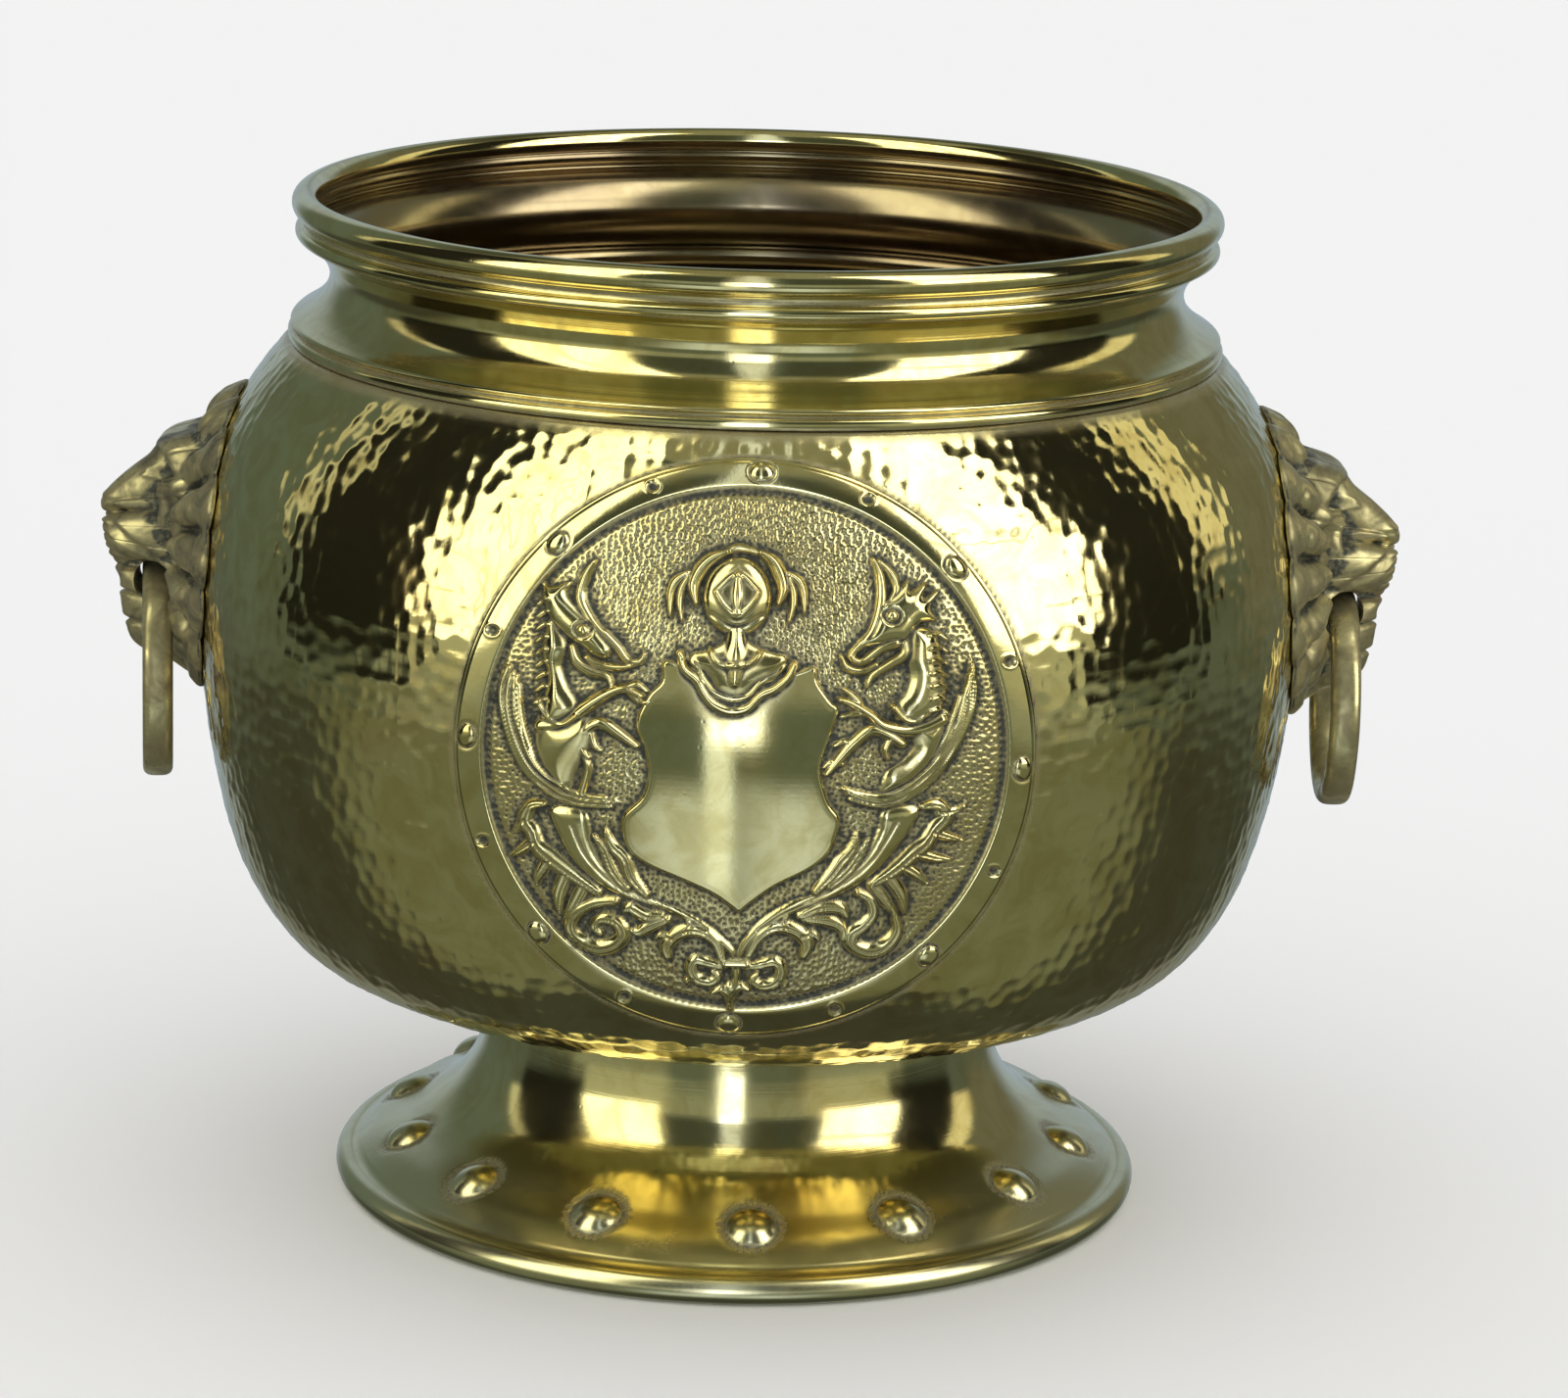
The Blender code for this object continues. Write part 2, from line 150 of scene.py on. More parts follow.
def pole_fans(rows, sides, low, high):
    """Triangles from the first row to a pole point, and from the last row to another."""
    k = np.arange(sides)
    n = (k + 1) % sides
    first = np.stack([np.full(sides, low), n, k], -1)
    last = np.stack([np.full(sides, high), (rows - 1) * sides + k, (rows - 1) * sides + n], -1)
    return np.vstack([first, last])


# ---------------------------------------------------------------- node building

class Nodes:
    """Short ways to add nodes to a tree."""

    def __init__(self, tree):
        self.tree = tree
        tree.nodes.clear()

    def add(self, kind, inputs=None, **settings):
        node = self.tree.nodes.new(kind)
        for key, value in settings.items():
            setattr(node, key, value)
        for key, value in (inputs or {}).items():
            if isinstance(value, bpy.types.NodeSocket):
                self.tree.links.new(value, node.inputs[key])
            else:
                node.inputs[key].default_value = value
        return node

    def math(self, operation, *values, clamp=False):
        inputs = dict(enumerate(values))
        return self.add("ShaderNodeMath", inputs, operation=operation, use_clamp=clamp).outputs[0]

    def mix(self, factor, first, second, blend="MIX"):
        node = self.add("ShaderNodeMix", data_type="RGBA", blend_type=blend)
        for index, value in ((0, factor), (6, first), (7, second)):
            if isinstance(value, bpy.types.NodeSocket):
                self.tree.links.new(value, node.inputs[index])
            else:
                node.inputs[index].default_value = value
        return node.outputs[2]

    def span(self, value, low, high, out_low=0.0, out_high=1.0):
        inputs = {"Value": value, "From Min": low, "From Max": high, "To Min": out_low, "To Max": out_high}
        return self.add("ShaderNodeMapRange", inputs, interpolation_type="SMOOTHSTEP").outputs["Result"]

    def noise(self, vector, scale, detail=3.0, rough=0.5, distort=0.0):
        inputs = {"Vector": vector, "Scale": scale, "Detail": detail, "Roughness": rough,
                  "Distortion": distort}
        return self.add("ShaderNodeTexNoise", inputs).outputs["Fac"]


def new_material(name):
    material = bpy.data.materials.new(name)
    material.use_nodes = True
    return material, Nodes(material.node_tree)


# ---------------------------------------------------------------- metals

BRASS_LIGHT = (0.83, 0.73, 0.39)
BRASS_DEEP = (0.70, 0.58, 0.26)
COPPER = (0.62, 0.33, 0.17)
# near-black, for tarnish in hollows and for painted shade
PATINA_AND_SHADE = (0.055, 0.058, 0.046)
INSIDE = (0.30, 0.23, 0.16)
# pale rubbed brass, also used as a painted sheen
WEAR_AND_SHEEN = (0.74, 0.70, 0.48)


def brass(name, rough, copper, grain, spun=0.0, tarnish=0.0):
    """Rubbed polished brass: blotches, a coppery tinge, dark tarnish and painted shade in the hollows,
    seams and shaded places, a pale rubbed look with a painted sheen, and a fine pitted grain. Copper is the
    share of red in the blotches, spun the strength of turned lines, tarnish the dark film on the open
    surface. The mesh's attributes say where it is hollow or shaded (painted dark), inside the pot,
    polished, or rubbed pale with a painted sheen."""
    material, n = new_material(name)
    place = n.add("ShaderNodeTexCoord").outputs["Object"]
    hollow_shade_and_tarnish, inside, polish, wear_and_sheen = (n.add("ShaderNodeAttribute", attribute_name=key).outputs["Fac"]
                                    for key in ("hollow_shade_and_tarnish", "inside", "polish", "wear_and_sheen"))
    wide = n.noise(place, 16.0, 3.0, 0.55, 0.6)
    middle = n.noise(place, 85.0, 4.0, 0.6, 0.8)
    fine = n.noise(place, 620.0, 3.0, 0.6)
    base = n.mix(n.span(middle, 0.35, 0.7), (*BRASS_LIGHT, 1), (*BRASS_DEEP, 1))
    red = n.math("MULTIPLY", n.span(wide, 0.52, 0.78), copper)
    base = n.mix(red, base, (*COPPER, 1))
    # painted sheen with real wear: a pale rough colour stands in for light from above
    base = n.mix(n.math("MULTIPLY", wear_and_sheen, 0.6), base, (*WEAR_AND_SHEEN, 1))
    base = n.mix(n.math("MULTIPLY", inside, n.span(wide, 0.25, 0.75, 0.55, 1.0)), base, (*INSIDE, 1))
    # painted shade with real tarnish: hollows, seams and shaded places go towards the near-black colour
    oxide_and_shade = n.math("MULTIPLY", hollow_shade_and_tarnish, n.span(fine, 0.2, 0.7, 0.7, 1.1), clamp=True)
    if tarnish:
        oxide_and_shade = n.math("MAXIMUM", oxide_and_shade, n.span(middle, 0.25, 0.75, 0.4 * tarnish, 1.6 * tarnish))
    base = n.mix(oxide_and_shade, base, (*PATINA_AND_SHADE, 1))
    dull = n.math("MULTIPLY", n.span(middle, 0.4, 0.75), 0.06)
    for share, strength in ((oxide_and_shade, 0.35), (inside, 0.13), (wear_and_sheen, 0.14), (polish, -0.075)):
        dull = n.math("ADD", dull, n.math("MULTIPLY", share, strength))
    dull = n.math("ADD", dull, rough)
    height = n.math("MULTIPLY", fine, grain * 0.6)
    specks = n.add("ShaderNodeTexVoronoi", {"Vector": place, "Scale": 240.0}, feature="F1")
    pits = n.math("MULTIPLY", n.span(specks.outputs["Distance"], 0.0, 0.16), grain * 0.5)
    height = n.math("ADD", height, pits)
    height = n.math("MULTIPLY", height, n.math("SUBTRACT", 1.0, n.math("MULTIPLY", polish, 0.7)))
    if spun:
        parts = n.add("ShaderNodeSeparateXYZ", {"Vector": place})
        squares = [n.math("MULTIPLY", parts.outputs[k], parts.outputs[k]) for k in "XY"]
        radius = n.math("SQRT", n.math("ADD", *squares))
        lines = n.add("ShaderNodeCombineXYZ", {"X": radius, "Z": parts.outputs["Z"]}).outputs[0]
        height = n.math("ADD", height, n.math("MULTIPLY", n.noise(lines, 1400.0, 2.0, 0.7), spun))
    bump = n.add("ShaderNodeBump", {"Height": height, "Strength": 0.25, "Distance": 0.16 * MM})
    metal = n.math("SUBTRACT", 1.0, n.math("MULTIPLY", oxide_and_shade, 0.55))
    shader = n.add("ShaderNodeBsdfPrincipled", {
        "Base Color": base, "Roughness": dull, "Metallic": metal, "Normal": bump.outputs["Normal"]})
    shader.inputs["Specular IOR Level"].default_value = 0.5
    n.add("ShaderNodeOutputMaterial", {"Surface": shader.outputs[0]})
    return material


HAMMERED = brass("hammered_brass_look", rough=0.08, copper=0.35, grain=0.35)
CHASED = brass("chased_brass_look", rough=0.14, copper=0.15, grain=0.8)
SPUN = brass("spun_brass_look", rough=0.08, copper=0.18, grain=0.25, spun=0.35)
CAST_LEFT = brass("cast_brass_look", rough=0.15, copper=0.15, grain=0.9, tarnish=0.62)
CAST_RIGHT = brass("cast_red_brass_look", rough=0.18, copper=0.85, grain=0.9, tarnish=0.52)
RING = brass("ring_brass_look", rough=0.17, copper=0.35, grain=0.6, tarnish=0.48)
FIXING = brass("fixing_brass_look", rough=0.28, copper=0.3, grain=0.8, tarnish=0.2)


def steel(name):
    """Plain steel with a little rust, for the wires in the rolled edges."""
    material, n = new_material(name)
    place = n.add("ShaderNodeTexCoord").outputs["Object"]
    rust = n.noise(place, 220.0, 4.0, 0.6)
    base = n.mix(n.span(rust, 0.45, 0.7), (0.36, 0.36, 0.35, 1), (0.20, 0.09, 0.04, 1))
    shader = n.add("ShaderNodeBsdfPrincipled", {
        "Base Color": base, "Roughness": n.span(rust, 0.3, 0.7, 0.35, 0.7), "Metallic": 0.8})
    n.add("ShaderNodeOutputMaterial", {"Surface": shader.outputs[0]})
    return material


# ---------------------------------------------------------------- bowl

BOWL_SIDE = [(125.8, 235.7), (134.2, 225.0), (143.2, 209.5), (148.6, 187.0), (150.0, 165.0),
             (148.3, 143.0), (144.4, 117.0), (137.4, 93.0), (126.0, 75.5), (111.5, 66.4),
             (95.0, 62.9), (76.0, 61.65)]
BOWL_FLOOR = 61.65
BOWL_SHEET = 1.2
BOWL_COLUMNS = 820
BOWL_PITCH = 1.16
BOWL_HUB = (30, 55, 70)             # radii of the rows across the hidden floor
UPSTAND = [(122.9, 235.9), (122.9, 240.4)]
WALL = spline(BOWL_SIDE, 16)[::-1]


def wall_radius(height):
    return np.interp(height, WALL[:, 1], WALL[:, 0])


DENT_PITCH = 4.7
DENT_RADIUS = 21.0                  # of the hammer's face
NO_DENT = 9.0


def dents(angle, along, radius, seed=5):
    """Heights of a side covered with overlapping round hammer dents."""
    random = np.random.default_rng(seed)
    rows = int(along.max() / DENT_PITCH) + 3
    line_along, line_radius = along[:, 0], radius[:, 0]
    height = np.full(np.broadcast_shapes(angle.shape, along.shape), NO_DENT)
    for row in range(-1, rows):
        middle = (row + 0.5) * DENT_PITCH
        near = np.abs(line_along - middle) < 1.7 * DENT_PITCH
        r = float(np.interp(middle, line_along, line_radius))
        count = max(8, int(round(2 * np.pi * r / DENT_PITCH)))
        shift = random.uniform(-0.32, 0.32, (count, 2))
        deep = random.uniform(-0.03, 0.03, count)
        flat = random.uniform(0.8, 1.35, count)
        if not near.any():
            continue
        turn = angle / (2 * np.pi) * count
        for side in (-1, 0, 1):
            cell = np.floor(turn).astype(int) + side
            own = cell % count
            across = (turn - cell - 0.5 - shift[own, 0]) * 2 * np.pi / count
            across = across * line_radius[near, None]
            upward = line_along[near, None] - middle - shift[own, 1] * DENT_PITCH
            dent = (across ** 2 + upward ** 2) / (2 * DENT_RADIUS * flat[own]) - deep[own]
            height[near] = np.minimum(height[near], dent)
    return height


def waves(angle, along, seed, strength, turns=9, length=45.0):
    """Slow uneven swelling of a hand-made side."""
    random = np.random.default_rng(seed)
    total = 0.0
    for _ in range(10):
        k = random.integers(2, turns)
        m = random.uniform(-1, 1) * 2 * np.pi / length
        total = total + np.sin(k * angle + m * along + random.uniform(0, 6.3)) / 10 ** 0.5
    return strength * total


# Roundel: laid out on a plane that leans back, and centred on the front
LEAN = math.radians(14.2)
ROUNDEL_WIDE = 72.5
ROUNDEL_HIGH = 72.0
ROUNDEL_CENTRE = -150.0 * math.sin(LEAN) + 160.6 * math.cos(LEAN)


def roundel_place(x, y, z):
    """Roundel coordinates of points on the wall, 1 at the roundel's edge."""
    a = x / ROUNDEL_WIDE
    b = (y * math.sin(LEAN) + z * math.cos(LEAN) - ROUNDEL_CENTRE) / ROUNDEL_HIGH
    return a, b


def make_bowl():
    """The hammered sheet, flattened under the roundel, with a plain wall and floor behind it."""
    side = resample(WALL, BOWL_PITCH)
    floor = BOWL_FLOOR + BOWL_SHEET
    outer = np.vstack([[(radius, BOWL_FLOOR) for radius in BOWL_HUB], side, UPSTAND])
    inner_wall = resample(WALL - normals_of(WALL) * BOWL_SHEET, 10.0)[::-1]
    inner_top = [(x - BOWL_SHEET, z) for x, z in UPSTAND[::-1]]
    inner = np.vstack([inner_top, inner_wall, [(radius, floor) for radius in BOWL_HUB[::-1]]])
    angle = full_turn(BOWL_COLUMNS)
    first = len(BOWL_HUB)
    last = first + len(side)
    along = lengths(side)[:, None]
    height = dents(angle, along, side[:, :1])
    height = (height - height.mean()) + waves(angle, along, seed=3, strength=0.14)
    fade = step(along, 0, 10) * step(along.max() - along, 0.5, 3.5)
    height = height * fade
    plain = turn_profile(side, BOWL_COLUMNS)
    a, b = roundel_place(plain[..., 0], plain[..., 1], plain[..., 2])
    rho = np.where(plain[..., 1] < 0, np.hypot(a, b), 9)
    height = height * step(rho, 0.99, 1.03) - 0.9 * step(0.985 - rho, 0, 0.02)
    smooth_side = turn_profile(side, BOWL_COLUMNS, height)
    points = turn_profile(np.vstack([outer, inner]), BOWL_COLUMNS)
    points[first:last] = smooth_side
    rows = len(points)
    hollow_shade_and_tarnish = np.zeros((rows, BOWL_COLUMNS))
    # painted shade: a dark line round the roundel's edge, and a darker band at the top of the wall under
    # the neck's ledge
    roundel_edge_shade = np.exp(-((rho - 1.005) / 0.008) ** 2)
    hollow_shade_and_tarnish[first:last] = np.clip(roundel_edge_shade * 0.9 + 0.5 * step(along, along.max() - 4, along.max()), 0, 1)
    inside = np.zeros((rows, BOWL_COLUMNS))
    inside[len(outer) - 1:] = 1
    flat = np.vstack([points.reshape(-1, 3), [(0, 0, BOWL_FLOOR), (0, 0, floor)]])
    quads = grid_quads(rows, BOWL_COLUMNS, wrap_columns=True)
    fans = pole_fans(rows, BOWL_COLUMNS, len(flat) - 2, len(flat) - 1)
    values = {"hollow_shade_and_tarnish": np.append(hollow_shade_and_tarnish.ravel(), [0, 0]), "inside": np.append(inside.ravel(), [0, 1])}
    make_piece("bowl_hammered", flat, [quads, fans], HAMMERED, "pot", ["bowl"], values)


# ---------------------------------------------------------------- roundel relief

CURVE_STEPS = 6


class Relief:
    """Heights over scattered points, built up from ridges and filled outlines. Widths are in the
    same units as the points, heights in millimetres."""

    def __init__(self, a, b, height):
        self.a, self.b, self.h = a, b, height

    def near(self, line, margin):
        low, high = line.min(0) - margin, line.max(0) + margin
        inside = (self.a > low[0]) & (self.a < high[0]) & (self.b > low[1]) & (self.b < high[1])
        return np.nonzero(inside)[0]

    def distance(self, line, index):
        """Distance to a polyline, and how far along it the nearest point lies, 0 to 1."""
        pa, pb = self.a[index], self.b[index]
        best = np.full(len(index), 1e9)
        share = np.zeros(len(index))
        last = len(line) - 1
        for k, (start, end) in enumerate(zip(line, line[1:])):
            d = end - start
            t = np.clip(((pa - start[0]) * d[0] + (pb - start[1]) * d[1]) / max(d @ d, 1e-12), 0, 1)
            far = (pa - start[0] - t * d[0]) ** 2 + (pb - start[1] - t * d[1]) ** 2
            closer = far < best
            best[closer] = far[closer]
            share[closer] = (k + t[closer]) / last
        return np.sqrt(best), share

    def ridge(self, points, width, height, base=None, power=1.0):
        """A rounded ridge; width and height may be lists along it. Without a base it is added on top."""
        line = spline(points, CURVE_STEPS) if len(points) > 2 else np.asarray(points, float)
        widths, heights = np.atleast_1d(width).astype(float), np.atleast_1d(height).astype(float)
        index = self.near(line, widths.max())
        d, share = self.distance(line, index)
        w = np.interp(share, np.linspace(0, 1, len(widths)), widths)
        top = np.interp(share, np.linspace(0, 1, len(heights)), heights)
        form = np.clip(1 - (d / w) ** 2, 0, 1) ** power
        if base is None:
            self.h[index] += top * form
        else:
            self.h[index] = np.maximum(self.h[index], np.where(form > 0, base + top * form, -9))

    def pillow(self, outline, height, edge, base=0.0, power=0.6):
        """A filled outline that swells up to its height within a distance from its edge."""
        line = spline(outline, CURVE_STEPS, closed=True)
        ring = np.vstack([line, line[:1]])
        index = self.near(ring, 0)
        pa, pb = self.a[index], self.b[index]
        odd = np.zeros(len(index), bool)
        for (a1, b1), (a2, b2) in zip(ring, ring[1:]):
            cross = (b1 > pb) != (b2 > pb)
            with np.errstate(divide="ignore", invalid="ignore"):
                meet = a1 + (pb - b1) / (b2 - b1) * (a2 - a1)
            odd ^= cross & (pa < meet)
        index = index[odd]
        d, _ = self.distance(ring, index)
        form = (1 - (1 - np.clip(d / edge, 0, 1)) ** 2) ** power
        self.h[index] = np.maximum(self.h[index], base + height * form)
        return index, d

    def dome(self, a, b, ra, rb, height, base=0.0, add=False, turn=0.0, power=0.5):
        """An oval dome with half axes ra and rb, laid over what is there or added to it."""
        c, s = math.cos(turn), math.sin(turn)
        da, db = self.a - a, self.b - b
        q = ((da * c + db * s) / ra) ** 2 + ((db * c - da * s) / rb) ** 2
        form = np.clip(1 - q, 0, 1) ** power
        if add:
            self.h += height * form
        else:
            self.h = np.where(form > 0, np.maximum(self.h, base + height * form), self.h)


GROUND = 0.25

SHIELD = [(-.277, .308), (-.291, .236), (-.334, .188), (-.373, .088), (-.341, 0), (-.328, -.079),
          (-.348, -.157), (-.408, -.221), (-.413, -.282), (-.39, -.349), (-.324, -.399), (-.2, -.45),
          (-.1, -.494), (-.033, -.539), (-.005, -.556), (.032, -.525), (.116, -.462), (.228, -.402),
          (.295, -.343), (.3225, -.271), (.329, -.214), (.29, -.157), (.26, -.05), (.279, .03),
          (.315, .15), (.287, .185), (.243, .247), (.229, .300), (.15, .28), (.0, .25), (-.15, .28)]

HELMET_CENTRE = (-.038, .526)
MANTLE = [(-.2265, .331), (-.21, .28), (-.165, .241), (-.143, .202), (-.109, .163), (-.053, .141),
          (.002, .152), (.047, .197), (.092, .219), (.136, .258), (.159, .303)]
NECK_FLARE = [(-.075, .45), (-.08, .38), (-.135, .345), (-.19, .33), (-.185, .285), (-.14, .25),
              (-.11, .20), (-.05, .175), (0, .185), (.045, .225), (.09, .25), (.125, .29), (.13, .33),
              (.07, .345), (.005, .38), (0, .45)]

# ridges: (points, width or widths, height or heights)
CREST = [
    ([(-.075, .675), (-.125, .652), (-.163, .615), (-.187, .56), (-.176, .50)],
      (.012, .026, .030, .026, .012), 2.2),
    ([(.035, .675), (.075, .65), (.10, .61), (.115, .555), (.10, .505)], (.012, .026, .030, .026, .012),
      2.2),
    ([(-.204, .605), (-.245, .575), (-.262, .53), (-.262, .455)], (.010, .020, .018, .006), 1.4),
    ([(-.204, .59), (-.225, .55), (-.232, .50), (-.222, .44)], (.010, .018, .016, .006), 1.5),
    ([(.125, .61), (.165, .585), (.183, .54), (.187, .475)], (.010, .020, .018, .006), 1.4),
    ([(.13, .595), (.148, .55), (.150, .50), (.137, .445)], (.010, .018, .016, .006), 1.5),
    ([(-.10, .66), (-.04, .69), (.03, .675)], (.010, .018, .010), 1.2),
]

LEFT_HEAD = [(-.70, .56), (-.665, .548), (-.60, .565), (-.61, .525), (-.575, .485), (-.53, .445),
             (-.495, .40), (-.455, .345), (-.47, .305), (-.52, .315), (-.56, .345), (-.595, .365),
             (-.63, .39), (-.665, .43), (-.69, .49)]
LEFT_NECK = [(-.672, .44), (-.62, .40), (-.60, .34), (-.622, .28), (-.60, .21), (-.56, .14), (-.60, .085),
             (-.655, .065), (-.70, .09), (-.69, .17), (-.675, .24), (-.695, .33)]
LEFT_BODY = [(-.70, .12), (-.62, .11), (-.55, .13), (-.50, .10), (-.495, .04), (-.53, -.03), (-.57, -.10),
             (-.57, -.16), (-.64, -.15), (-.70, -.09), (-.725, -.01), (-.72, .07)]
LEFT_WING = [(-.811, .29), (-.8435, .243), (-.849, .178), (-.837, .10), (-.805, 0), (-.753, -.092),
             (-.676, -.163), (-.592, -.205), (-.496, -.215), (-.405, -.19), (-.44, -.155),
             (-.52, -.155), (-.60, -.14), (-.66, -.09), (-.70, -.01), (-.72, .06), (-.745, .159),
             (-.766, .217)]
LEFT_RIDGES = [
    ([(-.521, .635), (-.553, .58), (-.5665, .51), (-.534, .445), (-.483, .39)],
      (.006, .016, .018, .016, .008), 1.5),
    ([(-.483, .39), (-.438, .346), (-.40, .30), (-.36, .30), (-.345, .325)],
      (.016, .015, .014, .012, .006), 1.4),
    ([(-.541, .31), (-.50, .285), (-.44, .277), (-.385, .285)], (.010, .016, .014, .007), 1.5),
    ([(-.59, .345), (-.575, .295), (-.525, .262), (-.47, .247), (-.455, .215)],
      (.012, .018, .018, .014, .006), 1.6),
    ([(-.69, .075), (-.637, .08), (-.592, .10), (-.521, .155), (-.457, .195), (-.41, .207),
      (-.354, .185)], (.026, .026, .024, .022, .018, .016, .012), 2.1),
    ([(-.41, .207), (-.37, .222), (-.335, .20)], (.012, .012, .005), 1.3),
    ([(-.40, .20), (-.36, .165), (-.33, .165)], (.012, .011, .005), 1.3),
    ([(-.60, .02), (-.56, .045), (-.51, .085), (-.47, .08), (-.42, .05), (-.365, .015)],
      (.024, .022, .02, .02, .017, .012), 1.8),
    ([(-.56, .03), (-.545, -.01), (-.525, -.03)], (.016, .014, .006), 1.5),
    ([(-.52, .05), (-.507, .01), (-.485, -.005)], (.015, .013, .006), 1.4),
    ([(-.67, .04), (-.63, -.02), (-.60, .01)], (.014, .016, .008), 1.5),
    ([(-.70, .16), (-.66, .105), (-.615, .085), (-.565, .115)], .012, 2.6),
    ([(-.55, -.15), (-.53, -.07), (-.54, -.03)], (.016, .014, .008), 1.4),
]
LEFT_CREST_RIBS = [(-.705, .50 - .042 * k) for k in range(9)]
LEFT_FEATHERS = [
    [(-.805, .27), (-.828, .20), (-.822, .12), (-.79, .01), (-.74, -.08), (-.665, -.148), (-.58, -.188),
     (-.45, -.198)],
    [(-.793, .25), (-.806, .18), (-.798, .10), (-.765, 0), (-.715, -.08), (-.645, -.135), (-.57, -.172),
     (-.46, -.183)],
    [(-.780, .24), (-.784, .17), (-.773, .09), (-.742, 0), (-.695, -.07), (-.63, -.12), (-.56, -.156),
     (-.47, -.168)],
    [(-.770, .21), (-.762, .13), (-.745, .05), (-.71, -.03), (-.665, -.085), (-.61, -.125)],
]

RIGHT_HEAD = [(.425, .47), (.44, .52), (.475, .545), (.535, .60), (.545, .565), (.60, .595),
              (.592, .545), (.645, .57), (.615, .51), (.638, .465), (.585, .455), (.56, .42),
              (.53, .39), (.475, .38), (.43, .37), (.36, .365), (.372, .395), (.40, .415)]
RIGHT_NECK = [(.545, .44), (.63, .43), (.655, .36), (.665, .30), (.68, .24), (.665, .17), (.62, .12),
              (.56, .10), (.50, .12), (.50, .17), (.535, .22), (.545, .28), (.53, .34)]
RIGHT_BODY = [(.50, .15), (.60, .14), (.68, .17), (.70, .09), (.67, 0), (.60, -.08), (.53, -.12),
              (.46, -.13), (.47, -.06), (.53, -.01), (.56, .04), (.52, .09)]
RIGHT_WING = [(.762, .345), (.785, .256), (.782, .178), (.756, .0945), (.711, 0), (.646, -.086),
              (.556, -.155), (.466, -.19), (.366, -.17), (.30, -.11), (.34, -.10), (.42, -.13),
              (.50, -.12), (.58, -.06), (.635, .02), (.66, .10), (.69, .17), (.735, .24), (.745, .30)]
RIGHT_RIDGES = [
    ([(.414, .665), (.44, .605), (.446, .52), (.42, .42), (.365, .36)], (.006, .016, .018, .018, .014),
      1.5),
    ([(.434, .66), (.479, .615), (.495, .565), (.475, .53)], (.006, .014, .014, .008), 1.3),
    ([(.365, .36), (.35, .335), (.385, .317), (.45, .365), (.50, .384)], (.014, .014, .014, .016, .018),
      1.6),
    ([(.315, .335), (.335, .298), (.385, .286), (.434, .31)], (.006, .014, .014, .008), 1.4),
    ([(.528, .385), (.528, .345), (.48, .312), (.42, .27), (.405, .235)],
      (.016, .018, .016, .014, .006), 1.6),
    ([(.315, .19), (.36, .175), (.42, .14), (.466, .105), (.537, .09), (.60, .10), (.66, .13)],
      (.010, .014, .016, .02, .024, .026, .026), 2.1),
    ([(.40, .155), (.36, .20), (.325, .225)], (.012, .012, .005), 1.3),
    ([(.41, .145), (.36, .14), (.32, .13)], (.012, .011, .005), 1.3),
    ([(.275, -.065), (.32, -.01), (.36, .035), (.42, .085), (.47, .08), (.53, .045)],
      (.010, .018, .02, .02, .02, .018), 1.8),
    ([(.49, .06), (.475, .02), (.485, -.01)], (.014, .014, .006), 1.5),
    ([(.36, .03), (.33, .045), (.30, .03)], (.010, .010, .005), 1.2),
    ([(.33, -.03), (.29, -.025), (.265, -.045)], (.010, .010, .005), 1.2),
    ([(.495, .17), (.535, .13), (.58, .13), (.615, .185)], .012, 2.6),
]
RIGHT_CREST_RIBS = [(.655 + .002 * k, .42 - .042 * k) for k in range(7)]
RIGHT_FEATHERS = [
    [(.762, .32), (.772, .25), (.765, .17), (.738, .09), (.692, 0), (.632, -.078), (.55, -.14),
     (.46, -.17), (.36, -.15)],
    [(.757, .30), (.755, .23), (.745, .16), (.715, .08), (.672, 0), (.615, -.068), (.54, -.125),
     (.45, -.152), (.35, -.13)],
    [(.748, .28), (.738, .21), (.72, .14), (.69, .07), (.65, 0), (.597, -.058), (.53, -.11),
     (.45, -.137), (.34, -.115)],
    [(.72, .21), (.695, .13), (.665, .06), (.625, 0), (.58, -.045), (.52, -.09)],
]

